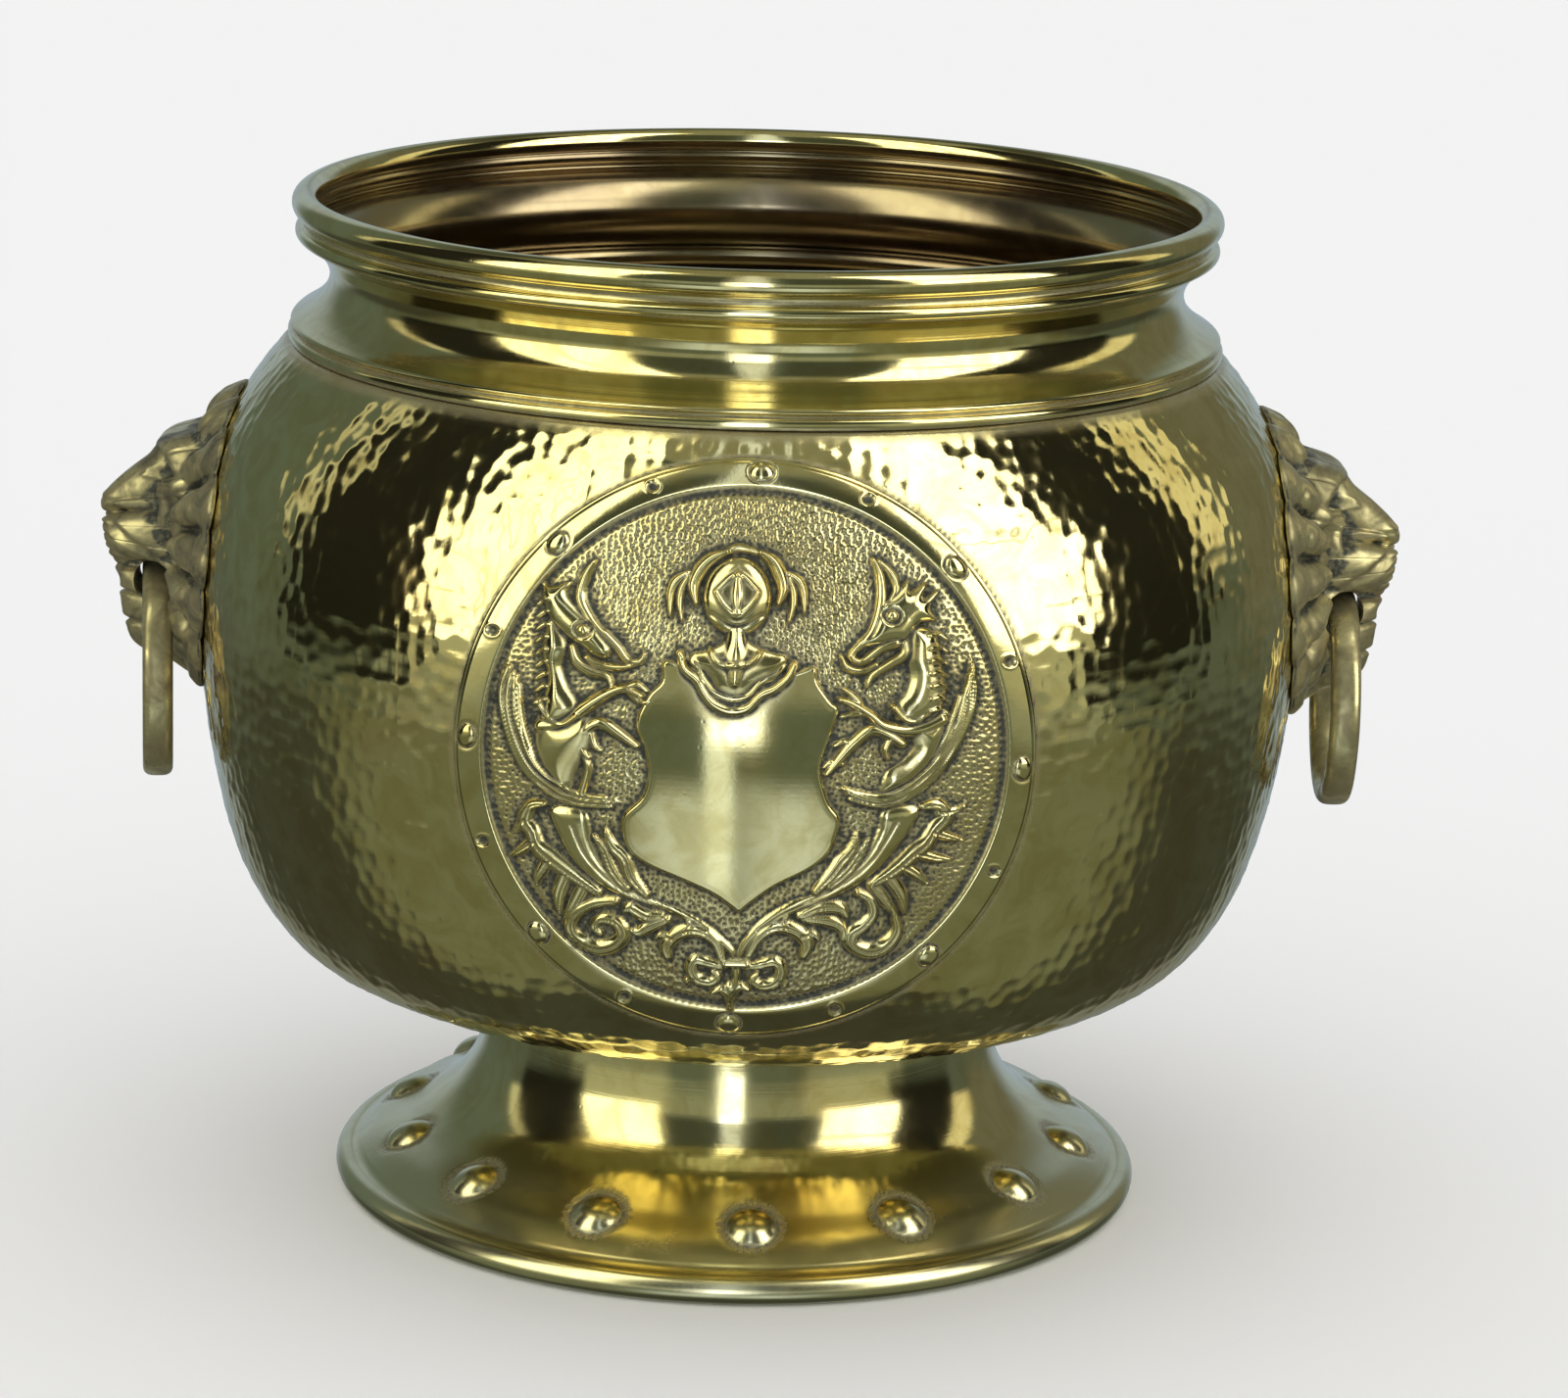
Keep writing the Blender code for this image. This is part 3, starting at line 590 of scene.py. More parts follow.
LEFT_TRUNK = [(-.66, -.215), (-.625, -.31), (-.575, -.394), (-.502, -.461), (-.424, -.505),
              (-.351, -.528), (-.26, -.555), (-.17, -.60), (-.10, -.645), (-.04, -.70), (-.022, -.72),
              (-.015, -.69), (-.067, -.635), (-.134, -.585), (-.217, -.545), (-.312, -.515),
              (-.368, -.490), (-.424, -.445), (-.48, -.3725), (-.508, -.31), (-.53, -.226), (-.59, -.20)]
LEFT_LEAVES = [
    ([(-.465, -.275), (-.445, -.33), (-.40, -.375), (-.375, -.44), (-.323, -.50)],
      (.006, .020, .024, .024, .012), 1.4),
    ([(-.505, -.30), (-.47, -.35), (-.44, -.42), (-.39, -.48)], (.006, .018, .022, .014), 1.3),
    ([(-.68, -.195), (-.725, -.205), (-.745, -.255), (-.72, -.295), (-.70, -.345), (-.65, -.39),
      (-.57, -.445), (-.49, -.495)], (.010, .020, .024, .024, .026, .028, .026, .016), 1.5),
    ([(-.745, -.25), (-.775, -.29), (-.79, -.30)], (.018, .012, .004), 1.1),
    ([(-.715, -.33), (-.765, -.365), (-.795, -.38)], (.022, .014, .004), 1.1),
    ([(-.66, -.395), (-.695, -.45), (-.70, -.48)], (.024, .016, .005), 1.2),
    ([(-.60, -.44), (-.625, -.51), (-.62, -.575)], (.026, .022, .006), 1.3),
    ([(-.54, -.48), (-.57, -.54), (-.60, -.585)], (.024, .022, .008), 1.3),
    ([(-.43, -.525), (-.50, -.535), (-.56, -.57), (-.583, -.62), (-.555, -.668), (-.49, -.695),
      (-.43, -.68), (-.402, -.638), (-.425, -.60), (-.475, -.59), (-.50, -.615), (-.48, -.64)],
      (.014, .018, .020, .022, .024, .026, .026, .024, .020, .018, .014, .010), 1.5),
    ([(-.27, -.57), (-.32, -.575), (-.375, -.548), (-.395, -.56)], (.012, .024, .022, .008), 1.4),
    ([(-.25, -.585), (-.31, -.61), (-.345, -.632), (-.37, -.625)], (.014, .024, .018, .006), 1.4),
    ([(-.06, -.72), (-.085, -.655), (-.145, -.62), (-.21, -.632), (-.25, -.675), (-.245, -.715)],
      (.012, .018, .022, .024, .024, .012), 1.5),
    ([(-.19, -.625), (-.175, -.595), (-.19, -.575)], (.016, .012, .004), 1.1),
    ([(-.235, -.65), (-.27, -.64), (-.29, -.655)], (.016, .012, .004), 1.1),
    ([(-.05, -.745), (-.10, -.735), (-.15, -.725), (-.165, -.755), (-.145, -.79), (-.10, -.80),
      (-.075, -.78), (-.09, -.762)], (.012, .016, .018, .020, .020, .018, .014, .008), 1.5),
    ([(-.155, -.79), (-.18, -.80), (-.175, -.815)], (.012, .010, .004), 1.0),
]
RIGHT_TRUNK = [(.60, -.18), (.563, -.265), (.507, -.343), (.451, -.41), (.373, -.466), (.272, -.516),
               (.19, -.55), (.11, -.60), (.05, -.65), (.0, -.72), (-.012, -.70), (.0155, -.64),
               (.071, -.575), (.16, -.515), (.25, -.48), (.33, -.43), (.39, -.375), (.43, -.31),
               (.457, -.25), (.47, -.195), (.53, -.17)]
RIGHT_LEAVES = [
    ([(.385, -.265), (.375, -.32), (.335, -.37), (.30, -.42), (.25, -.475)],
      (.006, .020, .024, .022, .012), 1.4),
    ([(.425, -.29), (.40, -.34), (.36, -.40), (.30, -.455)], (.006, .018, .022, .014), 1.3),
    ([(.61, -.17), (.665, -.165), (.69, -.205), (.655, -.25), (.625, -.30), (.58, -.34), (.52, -.395),
      (.45, -.44)], (.012, .020, .024, .024, .026, .028, .026, .016), 1.5),
    ([(.67, -.19), (.715, -.185), (.755, -.165)], (.018, .014, .004), 1.1),
    ([(.65, -.26), (.70, -.275), (.755, -.285)], (.022, .016, .004), 1.1),
    ([(.60, -.335), (.66, -.35), (.72, -.355)], (.022, .016, .004), 1.1),
    ([(.55, -.38), (.60, -.41), (.635, -.44)], (.024, .018, .005), 1.2),
    ([(.50, -.42), (.545, -.48), (.56, -.545)], (.026, .022, .006), 1.3),
    ([(.45, -.45), (.49, -.50), (.53, -.55)], (.024, .022, .008), 1.3),
    ([(.40, -.475), (.44, -.50), (.45, -.545), (.42, -.59), (.378, -.625), (.39, -.662), (.445, -.682),
      (.50, -.66), (.535, -.605), (.525, -.55)],
      (.014, .018, .018, .020, .024, .024, .026, .024, .020, .010), 1.5),
    ([(.20, -.56), (.27, -.53), (.335, -.53), (.362, -.56)], (.012, .024, .022, .008), 1.4),
    ([(.22, -.57), (.30, -.575), (.345, -.60), (.352, -.645)], (.014, .024, .018, .006), 1.4),
    ([(.03, -.70), (.065, -.635), (.125, -.60), (.19, -.612), (.228, -.655), (.215, -.70)],
      (.012, .018, .022, .024, .024, .012), 1.5),
    ([(.16, -.605), (.15, -.575), (.165, -.555)], (.016, .012, .004), 1.1),
    ([(.21, -.63), (.25, -.625), (.27, -.645)], (.016, .012, .004), 1.1),
    ([(.02, -.745), (.07, -.735), (.12, -.725), (.142, -.755), (.125, -.795), (.08, -.81), (.045, -.79),
      (.06, -.768)], (.012, .016, .018, .020, .020, .018, .014, .008), 1.5),
    ([(.135, -.79), (.155, -.805), (.15, -.82)], (.012, .010, .004), 1.0),
]
STEM = [
    ([(-.05, -.732), (.023, -.732)], .016, 1.9),
    ([(-.014, -.74), (-.012, -.80), (-.025, -.83)], (.018, .014, .016), 1.5),
    ([(-.095, -.84), (-.06, -.825), (-.03, -.85)], (.006, .018, .018), 1.4),
    ([(.035, -.825), (0, -.815), (-.025, -.85)], (.006, .018, .018), 1.4),
    ([(-.03, -.82), (-.03, -.87), (-.028, -.905)], (.022, .018, .006), 1.5),
]


def disc_grid(cells):
    """A square grid bent into a disc of radius 1, with nearly even cells."""
    u = np.linspace(-1, 1, cells + 1) + 1e-9
    x, y = np.meshgrid(u, u)
    wide = np.abs(x) >= np.abs(y)
    reach = np.where(wide, x, y)
    with np.errstate(divide="ignore", invalid="ignore"):
        angle = np.where(wide, np.pi / 4 * y / x, np.pi / 2 - np.pi / 4 * x / y)
    return reach * np.cos(angle), reach * np.sin(angle)


def blur(height, radius):
    """Box blur of a grid along both axes, twice."""
    for _ in range(2):
        for axis in (0, 1):
            padded = np.concatenate([np.repeat(np.take(height, [0], axis), radius + 1, axis), height,
                                     np.repeat(np.take(height, [-1], axis), radius, axis)], axis)
            total = np.cumsum(padded, axis)
            size = height.shape[axis]
            upper = np.take(total, np.arange(2 * radius + 1, 2 * radius + 1 + size), axis)
            height = (upper - np.take(total, np.arange(size), axis)) / (2 * radius + 1)
    return height


def cell_pits(a, b, pitch, seed, jitter=0.38, size=512):
    """Distance from each point to the nearest spot of a jittered grid, in pitches. The jitter repeats
    after size cells, which is wider than the roundel."""
    random = np.random.default_rng(seed)
    shift = random.uniform(-jitter, jitter, (size, size, 2))
    u, v = a / pitch + 0.37, b / pitch + 0.21
    best = np.full(np.shape(a), 9.0)
    for i in (-1, 0, 1):
        for j in (-1, 0, 1):
            ci, cj = np.floor(u).astype(int) + i, np.floor(v).astype(int) + j
            s = shift[ci % size, cj % size]
            best = np.minimum(best, np.hypot(u - ci - 0.5 - s[..., 0], v - cj - 0.5 - s[..., 1]))
    return best


ROUNDEL_CELLS = 420
ROUNDEL_SKIRT = 1.014
ROUNDEL_SHEET = 1.0
BACK_STEP = 4                       # cells of the front to one cell of the back
ROUNDEL_SEARCH = (63.0, 235.0)      # heights between which its points are looked for on the wall
BISECTIONS = 26
BAND_MIDDLE = .950                  # radius of the border band's bosses
BAND_BOSSES = 8
BAND_BEADS = 226
STIPPLE_PITCH = 1.32


def draw_roundel(a, b):
    """Heights of the embossed roundel above the bowl's wall, its share of bare ground, and its polish."""
    rho = np.hypot(a, b)
    relief = Relief(a, b, np.full(len(a), GROUND))
    relief.dome(0, -.05, .95, .95, 0.8, base=GROUND, power=1.0)
    ground = relief.h.copy()

    def rise(points, width, height, fuller=1.0):
        relief.ridge(points, np.atleast_1d(width) * fuller, height * fuller ** .5, base=0.75)

    # scrolls and leaves
    for trunk in (LEFT_TRUNK, RIGHT_TRUNK):
        relief.pillow(trunk, 1.5, .045, base=.7)
    for points, width, height in LEFT_LEAVES + RIGHT_LEAVES:
        rise(points, width, height, 1.25)
    for points, width, height in STEM:
        rise(points, width, height, 1.1)
    for points, width, height in LEFT_LEAVES + RIGHT_LEAVES:
        relief.ridge(points, np.atleast_1d(width) * 0.30, -0.45)
    for trunk in (LEFT_TRUNK, RIGHT_TRUNK):
        pairs = list(zip(trunk, trunk[::-1]))[1:9]
        middle = [((a1 + a2) / 2, (b1 + b2) / 2) for (a1, b1), (a2, b2) in pairs]
        relief.ridge(middle, .007, -0.3)

    # griffins
    for wing, feathers in ((LEFT_WING, LEFT_FEATHERS), (RIGHT_WING, RIGHT_FEATHERS)):
        relief.pillow(wing, 0.7, .03, base=.55)
        for feather in feathers:
            relief.ridge(feather, (.009, .0125, .0135, .0125, .009), (1.0, 1.6, 1.7, 1.6, 1.0))
    for body in (LEFT_BODY, RIGHT_BODY):
        relief.pillow(body, 2.8, .10, base=.5, power=.75)
    for neck in (LEFT_NECK, RIGHT_NECK):
        relief.pillow(neck, 3.2, .075, base=.6, power=.75)
    for head in (LEFT_HEAD, RIGHT_HEAD):
        relief.pillow(head, 2.7, .05, base=.7, power=.7)
    for points, width, height in LEFT_RIDGES + RIGHT_RIDGES:
        rise(points, width, height, 1.22)
    for x, y in LEFT_CREST_RIBS:
        relief.ridge([(x - .012, y - .018), (x + .012, y), (x + .03, y + .004)], (.006, .013, .008), 1.0)
    for x, y in RIGHT_CREST_RIBS:
        relief.ridge([(x + .02, y - .02), (x - .015, y), (x - .05, y - .006)], (.006, .013, .008), 0.9)
    for eye_a, eye_b in ((-.550, .402), (.479, .475)):
        relief.dome(eye_a, eye_b, .036, .034, -0.9, add=True)
        relief.dome(eye_a, eye_b, .021, .020, 1.3, add=True)

    # shield with a narrow bright edge
    polish = np.zeros(len(a))
    index, depth = relief.pillow(SHIELD, 1.35, .03, base=.75, power=.7)
    polish[index] = 1.0
    edge = np.exp(-((depth - .012) / .007) ** 2)
    relief.h[index] += 0.28 * edge

    # mantle, neck and helmet
    relief.pillow(NECK_FLARE, 2.1, .07, base=1.0)
    relief.ridge(MANTLE, (.014, .017, .018, .017, .014), 1.3, base=1.9)
    relief.ridge([(x, y + .042) for x, y in MANTLE[1:-1]], .010, 0.7)
    relief.ridge([(-.126, .347), (-.098, .303), (-.042, .297), (.0135, .308), (.0415, .336)], .011, 0.8)
    relief.ridge([(-.038, .45), (-.038, .34), (-.04, .24)], (.03, .035, .02), 0.8)
    for points, width, height in CREST:
        rise(points, width, height)
    ball_a, ball_b = HELMET_CENTRE
    relief.dome(ball_a, ball_b, .116, .134, 3.9, base=.8)
    relief.ridge([(ball_a - .07, .545), (ball_a, .60), (ball_a + .07, .545)], (.008, .011, .008), 0.5)
    relief.ridge([(ball_a - .072, .54), (ball_a - .04, .49), (ball_a, .462), (ball_a + .04, .49),
                  (ball_a + .072, .54)], (.008, .012, .016, .012, .008), 0.65)
    relief.ridge([(ball_a, .605), (ball_a, .535), (ball_a, .475)], (.010, .018, .012), 0.7)
    relief.ridge([(ball_a - .085, .465), (ball_a, .425), (ball_a + .085, .465)], .010, -0.5)

    # stippled ground
    lifted = relief.h - ground
    bare = (1 - step(lifted, .05, .4)) * (1 - step(rho, .855, .87))
    pits = cell_pits(a * ROUNDEL_WIDE, b * ROUNDEL_HIGH, STIPPLE_PITCH, seed=11)
    relief.h -= bare * 0.34 * np.exp(-(pits / .36) ** 2)

    # border band with its punched inner line, bosses and small pits
    band = step(rho, .893, .905)
    swell = np.sqrt(np.clip(1 - ((rho - .952) / .056) ** 2, 0, 1))
    relief.h = relief.h * (1 - band) + band * (0.95 + 0.55 * swell)
    angle = np.arctan2(b, a)
    beads = 0.5 + 0.5 * np.cos(angle * BAND_BEADS)
    relief.h -= (0.35 + 0.30 * beads) * np.exp(-((rho - .882) / .011) ** 2)
    for k in range(BAND_BOSSES):
        turn = math.radians(360 / BAND_BOSSES * k - 2)
        ca, cb = BAND_MIDDLE * math.cos(turn), BAND_MIDDLE * math.sin(turn)
        relief.dome(ca, cb, .054, .044, -0.55, add=True, turn=turn + math.pi / 2, power=1.0)
        relief.dome(ca, cb, .041, .033, 1.5, add=True, turn=turn + math.pi / 2, power=.6)
        turn = math.radians(360 / BAND_BOSSES * k + 20.5)
        ca, cb = BAND_MIDDLE * math.cos(turn), BAND_MIDDLE * math.sin(turn)
        relief.dome(ca, cb, .024, .021, -0.9, add=True, power=.7)
        relief.dome(ca, cb, .033, .030, 0.25, add=True, power=.7)
    relief.h -= 0.45 * np.exp(-((rho - .990) / .006) ** 2)
    skirt = step(rho, .996, 1.006)
    relief.h = relief.h * (1 - skirt) - 0.75 * skirt
    polish[rho > .90] = 0.5
    return relief.h, bare, polish


def make_roundel():
    """The relief on a fine grid over the wall, closed behind by a coarser grid."""
    a, b = (v * ROUNDEL_SKIRT for v in disc_grid(ROUNDEL_CELLS))
    shape = a.shape
    height, bare, polish = (v.reshape(shape) for v in draw_roundel(a.ravel(), b.ravel()))
    # painted shade with tarnish: the relief's hollows are darkened, and a little of the stippled ground
    hollow = np.clip((blur(height, 2) - height) / .16, 0, 1)
    wide_hollow = np.clip((blur(height, 6) - height) / .55, 0, 1)
    hollow_shade_and_tarnish = np.clip(0.75 * hollow + 0.75 * wide_hollow + 0.10 * bare, 0, 1)
    x = a * ROUNDEL_WIDE
    target = ROUNDEL_CENTRE + b * ROUNDEL_HIGH
    low, high = (np.full(shape, z) for z in ROUNDEL_SEARCH)
    for _ in range(BISECTIONS):
        z = (low + high) / 2
        y = -np.sqrt(np.maximum(wall_radius(z) ** 2 - x ** 2, 1))
        above = y * math.sin(LEAN) + z * math.cos(LEAN) > target
        high = np.where(above, z, high)
        low = np.where(above, low, z)
    radius = wall_radius(z)
    slope = (wall_radius(z + 1) - wall_radius(z - 1)) / 2
    normal = np.stack([x / radius, y / radius, -slope], -1)
    normal /= np.linalg.norm(normal, axis=-1)[..., None]
    wall = np.stack([x, y, z], -1)
    front = wall + normal * height[..., None]
    coarse = slice(None, None, BACK_STEP)
    back = (wall - normal * ROUNDEL_SHEET)[coarse, coarse]
    n, m = shape[0], back.shape[0]
    points = np.vstack([front.reshape(-1, 3), back.reshape(-1, 3)])
    quads = grid_quads(n, n)
    back_quads = grid_quads(m, m)[:, ::-1] + n * n

    def rim(size):
        """Corner numbers round a square grid's edge, anticlockwise."""
        k = np.arange(size - 1)
        return np.concatenate([k, (k + 1) * size - 1, size * size - 1 - k, (size - 1 - k) * size])

    outer, inner = rim(n), rim(m) + n * n
    sides = []
    for k in range(len(inner)):
        edge = [outer[(BACK_STEP * k + j) % len(outer)] for j in range(BACK_STEP + 1)]
        sides.append(edge[::-1] + [inner[k], inner[(k + 1) % len(inner)]])
    values = {"hollow_shade_and_tarnish": np.append(hollow_shade_and_tarnish.ravel(), np.zeros(m * m)),
              "polish": np.append(polish.ravel(), np.zeros(m * m))}
    make_piece("roundel", points, [quads, back_quads, np.array(sides)], CHASED, "pot",
               values=values)


# ---------------------------------------------------------------- neck

SHEET = 1.1
COLLAR_LEDGE = [(125.5, 236.2), (125.7, 237.0), (125.6, 238.2), (125.0, 238.8), (124.3, 239.2),
                (124.5, 239.9), (125.0, 240.6), (124.4, 241.3)]
COLLAR_HOLLOW = [(124.4, 241.3), (122.2, 242.6), (119.2, 244.8), (116.4, 247.7), (115.0, 250.6),
                 (114.7, 253.6), (115.7, 256.8), (118.0, 260.0), (120.6, 262.0), (122.2, 262.9)]
COLLAR_BEAD = [(122.2, 262.9), (122.6, 263.2), (123.5, 263.7), (123.9, 264.6), (123.7, 265.7),
               (122.9, 266.4), (122.2, 266.7), (121.9, 267.6), (122.2, 268.6)]
COLLAR_CREASES = [(239.3, .45), (263.1, .35), (267.6, .5), (236.3, .5)]    # height, half width
RIM = (121.3, 272.2)
RIM_ROLL = 3.5
ROLL_SHEET = 0.95
NECK_COLUMNS = 432
CREASES_END = 30                    # points of the neck's profile past its outer side
LINING_BEGINS = 22


def make_neck():
    """The spun neck from its ledge up to the rolled rim, with its lining."""
    outer = np.vstack([spline(COLLAR_LEDGE, 4), spline(COLLAR_HOLLOW, 6)[1:], spline(COLLAR_BEAD, 4)[1:]])
    roll = arc(RIM, RIM_ROLL, -72, 232, 26)
    hidden = arc(RIM, RIM_ROLL - ROLL_SHEET, 232, -95, 20)
    inner = (outer - normals_of(outer) * SHEET)[::-1]
    profile = np.vstack([outer, roll, hidden, inner])
    angle = full_turn(NECK_COLUMNS)
    wobble = waves(angle, profile[:, 1:], seed=21, strength=0.10, turns=7, length=60)
    points = turn_profile(profile, NECK_COLUMNS, wobble)
    rows = len(profile)
    line = profile[:, 1]
    # painted shade with tarnish: dark lines in the collar's creases and at the seam over the bowl
    crease = sum(np.exp(-((line - height) / wide) ** 2) for height, wide in COLLAR_CREASES)
    crease[len(outer) + CREASES_END:] = 0
    lining = np.zeros(rows)
    lining[len(outer) + LINING_BEGINS:] = 1
    values = {"hollow_shade_and_tarnish": np.repeat(np.clip(crease, 0, 1) * 0.75, NECK_COLUMNS),
              "inside": np.repeat(lining, NECK_COLUMNS)}
    quads = grid_quads(rows, NECK_COLUMNS, wrap_rows=True, wrap_columns=True)
    make_piece("neck_spun", points.reshape(-1, 3), [quads], SPUN, "pot", ["neck_collar"],
               values)


# ---------------------------------------------------------------- foot

FOOT_SEAT = [(57.5, 61.35), (69.2, 61.35), (70.5, 60.6)]
FOOT_SIDE = [(70.6, 59.8), (70.5, 48.0), (72.4, 36.0), (78.6, 26.0), (88.6, 18.6), (98.0, 14.0),
             (104.8, 9.3)]
FOOT_ROLL_CENTRE = (107.5, 3.8)
FOOT_ROLL = 3.8
BOSS_COUNT = 14
BOSS_PHASE = 3.0
BOSS_RADIUS = 6.7
BOSS_RISE = 2.9
BOSS_LINE = 93.5                    # radius of the circle of bosses
BOSS_TICKS = 46                     # punch marks round each boss
FOOT_COLUMNS = 840
FOOT_PITCH = 0.8
FOOT_UNDER_PITCH = 3.0


def make_foot():
    """The flared foot with its ring of bosses, each in a punched groove, and its rolled edge."""
    flare = spline(FOOT_SIDE, 12)
    side = resample(flare, FOOT_PITCH)
    roll = arc(FOOT_ROLL_CENTRE, FOOT_ROLL, 105, -225, 44)
    roll[:, 1] = np.where(roll[:, 1] < 0.12, 0.0, roll[:, 1])
    hidden = arc(FOOT_ROLL_CENTRE, FOOT_ROLL - ROLL_SHEET, -225, 125, 18)
    coarse = resample(flare, FOOT_UNDER_PITCH)
    under = (coarse + normals_of(coarse) * SHEET)[::-1]
    seat = np.array(FOOT_SEAT)
    seat_under = np.array([(69.0, 60.25), (57.5, 60.25)])
    profile = np.vstack([seat, side, roll, hidden, under, seat_under])[::-1]
    normal = normals_of(profile)
    rows = len(profile)
    angle = full_turn(FOOT_COLUMNS)
    first = rows - len(seat) - len(side)
    band = slice(first, first + len(side))
    line = profile[band]
    along = lengths(line)
    centre = float(np.interp(-BOSS_LINE, -line[:, 0], along))
    share = (angle + math.pi / 2 - math.radians(BOSS_PHASE)) / (2 * math.pi) * BOSS_COUNT
    turn = (share - np.round(share)) * 2 * math.pi / BOSS_COUNT
    across = turn[None, :] * line[:, :1]
    upward = (along - centre)[:, None]
    d = np.hypot(across, upward)
    ball = (BOSS_RADIUS ** 2 + BOSS_RISE ** 2) / (2 * BOSS_RISE)
    dome = np.sqrt(np.maximum(ball ** 2 - d ** 2, 0)) - (ball - BOSS_RISE)
    ticks = 0.5 + 0.5 * np.cos(np.arctan2(upward, across) * BOSS_TICKS)
    collar = step(d, 7.4, 7.8) * (1 - step(d, 8.9, 9.5))
    groove = np.exp(-((d - 7.15) / .45) ** 2)
    height = np.where(d < BOSS_RADIUS, dome, 0) - 0.35 * groove - 0.16 * collar * ticks
    height = height + waves(angle, line[:, 1:], seed=33, strength=0.12, turns=7, length=60)
    points = turn_profile(profile, FOOT_COLUMNS)
    lifted = line[:, None, :] + normal[band][:, None, :] * height[..., None]
    radius = lifted[..., 0]
    points[band] = np.stack([radius * np.cos(angle), radius * np.sin(angle), lifted[..., 1]], -1)
    # painted shade with tarnish: the groove round each boss and its punch marks are darkened, and
    # seat_shade is painted shade where the foot meets the bowl
    hollow_shade_and_tarnish = np.zeros((rows, FOOT_COLUMNS))
    seat_shade = 0.8 * np.exp(-((line[:, 1:] - 59.8) / 1.2) ** 2)
    hollow_shade_and_tarnish[band] = np.clip(0.9 * groove + 0.55 * collar * ticks + seat_shade, 0, 1)
    lining = np.zeros(rows)
    lining[:first - len(roll) + 8] = 0.9
    # painted sheen with wear: the outer flare is made pale, standing in for light from above
    wear_and_sheen = 0.15 + 0.85 * step(profile[:, 0], 80, 91)
    values = {"hollow_shade_and_tarnish": hollow_shade_and_tarnish, "inside": np.repeat(lining, FOOT_COLUMNS),
              "wear_and_sheen": np.repeat(wear_and_sheen, FOOT_COLUMNS)}
    quads = grid_quads(rows, FOOT_COLUMNS, wrap_rows=True, wrap_columns=True)
    make_piece("foot_spun", points.reshape(-1, 3), [quads], SPUN, "pot", ["pedestal_foot"],
               values)


# ---------------------------------------------------------------- lion masks

MASK_CENTRE = 180.0
MASK_HALF_WIDTH = 44.0
MASK_ABOVE = 41.0
MASK_BELOW = 43.5
MASK_BACK_GAP = 0.45
MASK_EDGE = 0.9                     # height that the rounded edge falls towards
HOLLOW_DEPTH = 1.2                  # depth below its surroundings at which a hollow's painted shade is darkest
MASK_DIRECTIONS = 440
MASK_RINGS = 110
MASK_BACK_RINGS = 12
MASK_BACK_MIDDLE = 0.08             # share of the outline at which the back's rings end
MOUTH = (161.5, 167.0)              # from the pot's axis, and height
BORE_SIDES = 64
# Bore through the mouth: (distance along it from its middle, radius)
MOUTH_BORE = [(-45, 6.1), (-12, 6.1), (-6, 5.35), (0, 5.1), (6, 5.35), (12, 6.1), (45, 6.1)]
RING_TURN = {"left": 6.44, "right": 0.0}
SIDES = {"left": -1.0, "right": 1.0}
LOBE_TURN = 22.5                    # degrees from one lobe of the mane to the next
LOBE_NICK = 3.2

# Middle line of the face: (distance from the pot's axis, height)
FACE_LINE = [(139.0, 221.0), (141.1, 220.0), (143.9, 218.0), (146.1, 214.9), (147.5, 211.2), (148.3, 209.4),
             (152.7, 208.0), (157.1, 207.1), (159.9, 205.7), (161.8, 203.7), (162.6, 201.7), (162.9, 200.7),
             (164.8, 199.4), (169.2, 196.0), (173.6, 192.0), (176.0, 189.4), (176.8, 187.4), (176.3, 184.8),
             (175.6, 180.1), (174.8, 175.1), (173.4, 169.5), (171.2, 165.0), (171.5, 160.7), (171.1, 156.9),
             (170.1, 154.1), (169.8, 150.9), (168.5, 147.8), (165.0, 145.3), (158.0, 143.0), (152.0, 139.0),
             (148.5, 136.6)]
FACE_HEIGHTS = (135.0, 222.0, 350)
FACE_SAMPLES = (0.0, 12.0, 13)      # distances from the middle line at which the profile is met
GAP_BLUR = 5
# How far to each side the profile pulls the face: (height, distance)
FACE_REACH = [(137, 6), (150, 10), (165, 12), (178, 13), (190, 11), (200, 12), (212, 12), (221, 10)]


def mask_oval(angle):
    """Distance from the mask's middle to its outline without lobes, in directions measured from the top."""
    vertical = np.where(np.cos(angle) > 0, MASK_ABOVE, MASK_BELOW)
    return 1 / np.hypot(np.sin(angle) / MASK_HALF_WIDTH, np.cos(angle) / vertical)


def mask_edge(angle):
    """Distance to the outline, nicked between the lobes."""
    lobes = np.abs(np.cos(angle * 180 / LOBE_TURN)) ** 0.5
    return mask_oval(angle) - LOBE_NICK * (1 - lobes)


def draw_mane(relief):
    """Two rings of lobes round the face, with fine combed lines where they meet."""
    for k in range(9):
        angle = math.radians(LOBE_TURN * k)
        reach = float(mask_oval(np.array(angle)))

        def spot(share, turn=0.0):
            a = angle + turn
            return reach * share * math.sin(a), MASK_CENTRE + reach * share * math.cos(a)

        for shares, widths, heights in (((.78, .85, .90), (5.8, 6.6, 6.2), (4.4, 4.2, 3.6)),
                                        ((.52, .62, .735), (4.2, 5.3, 5.6), (8.6, 8.0, 7.2))):
            relief.ridge([spot(share) for share in shares], widths, heights, base=.4, power=.5)
        for turn in (-.075, 0, .075):
            relief.ridge([spot(.62, turn), spot(.70, turn), spot(.78, turn)], .5, (-.2, -.35, -.2))


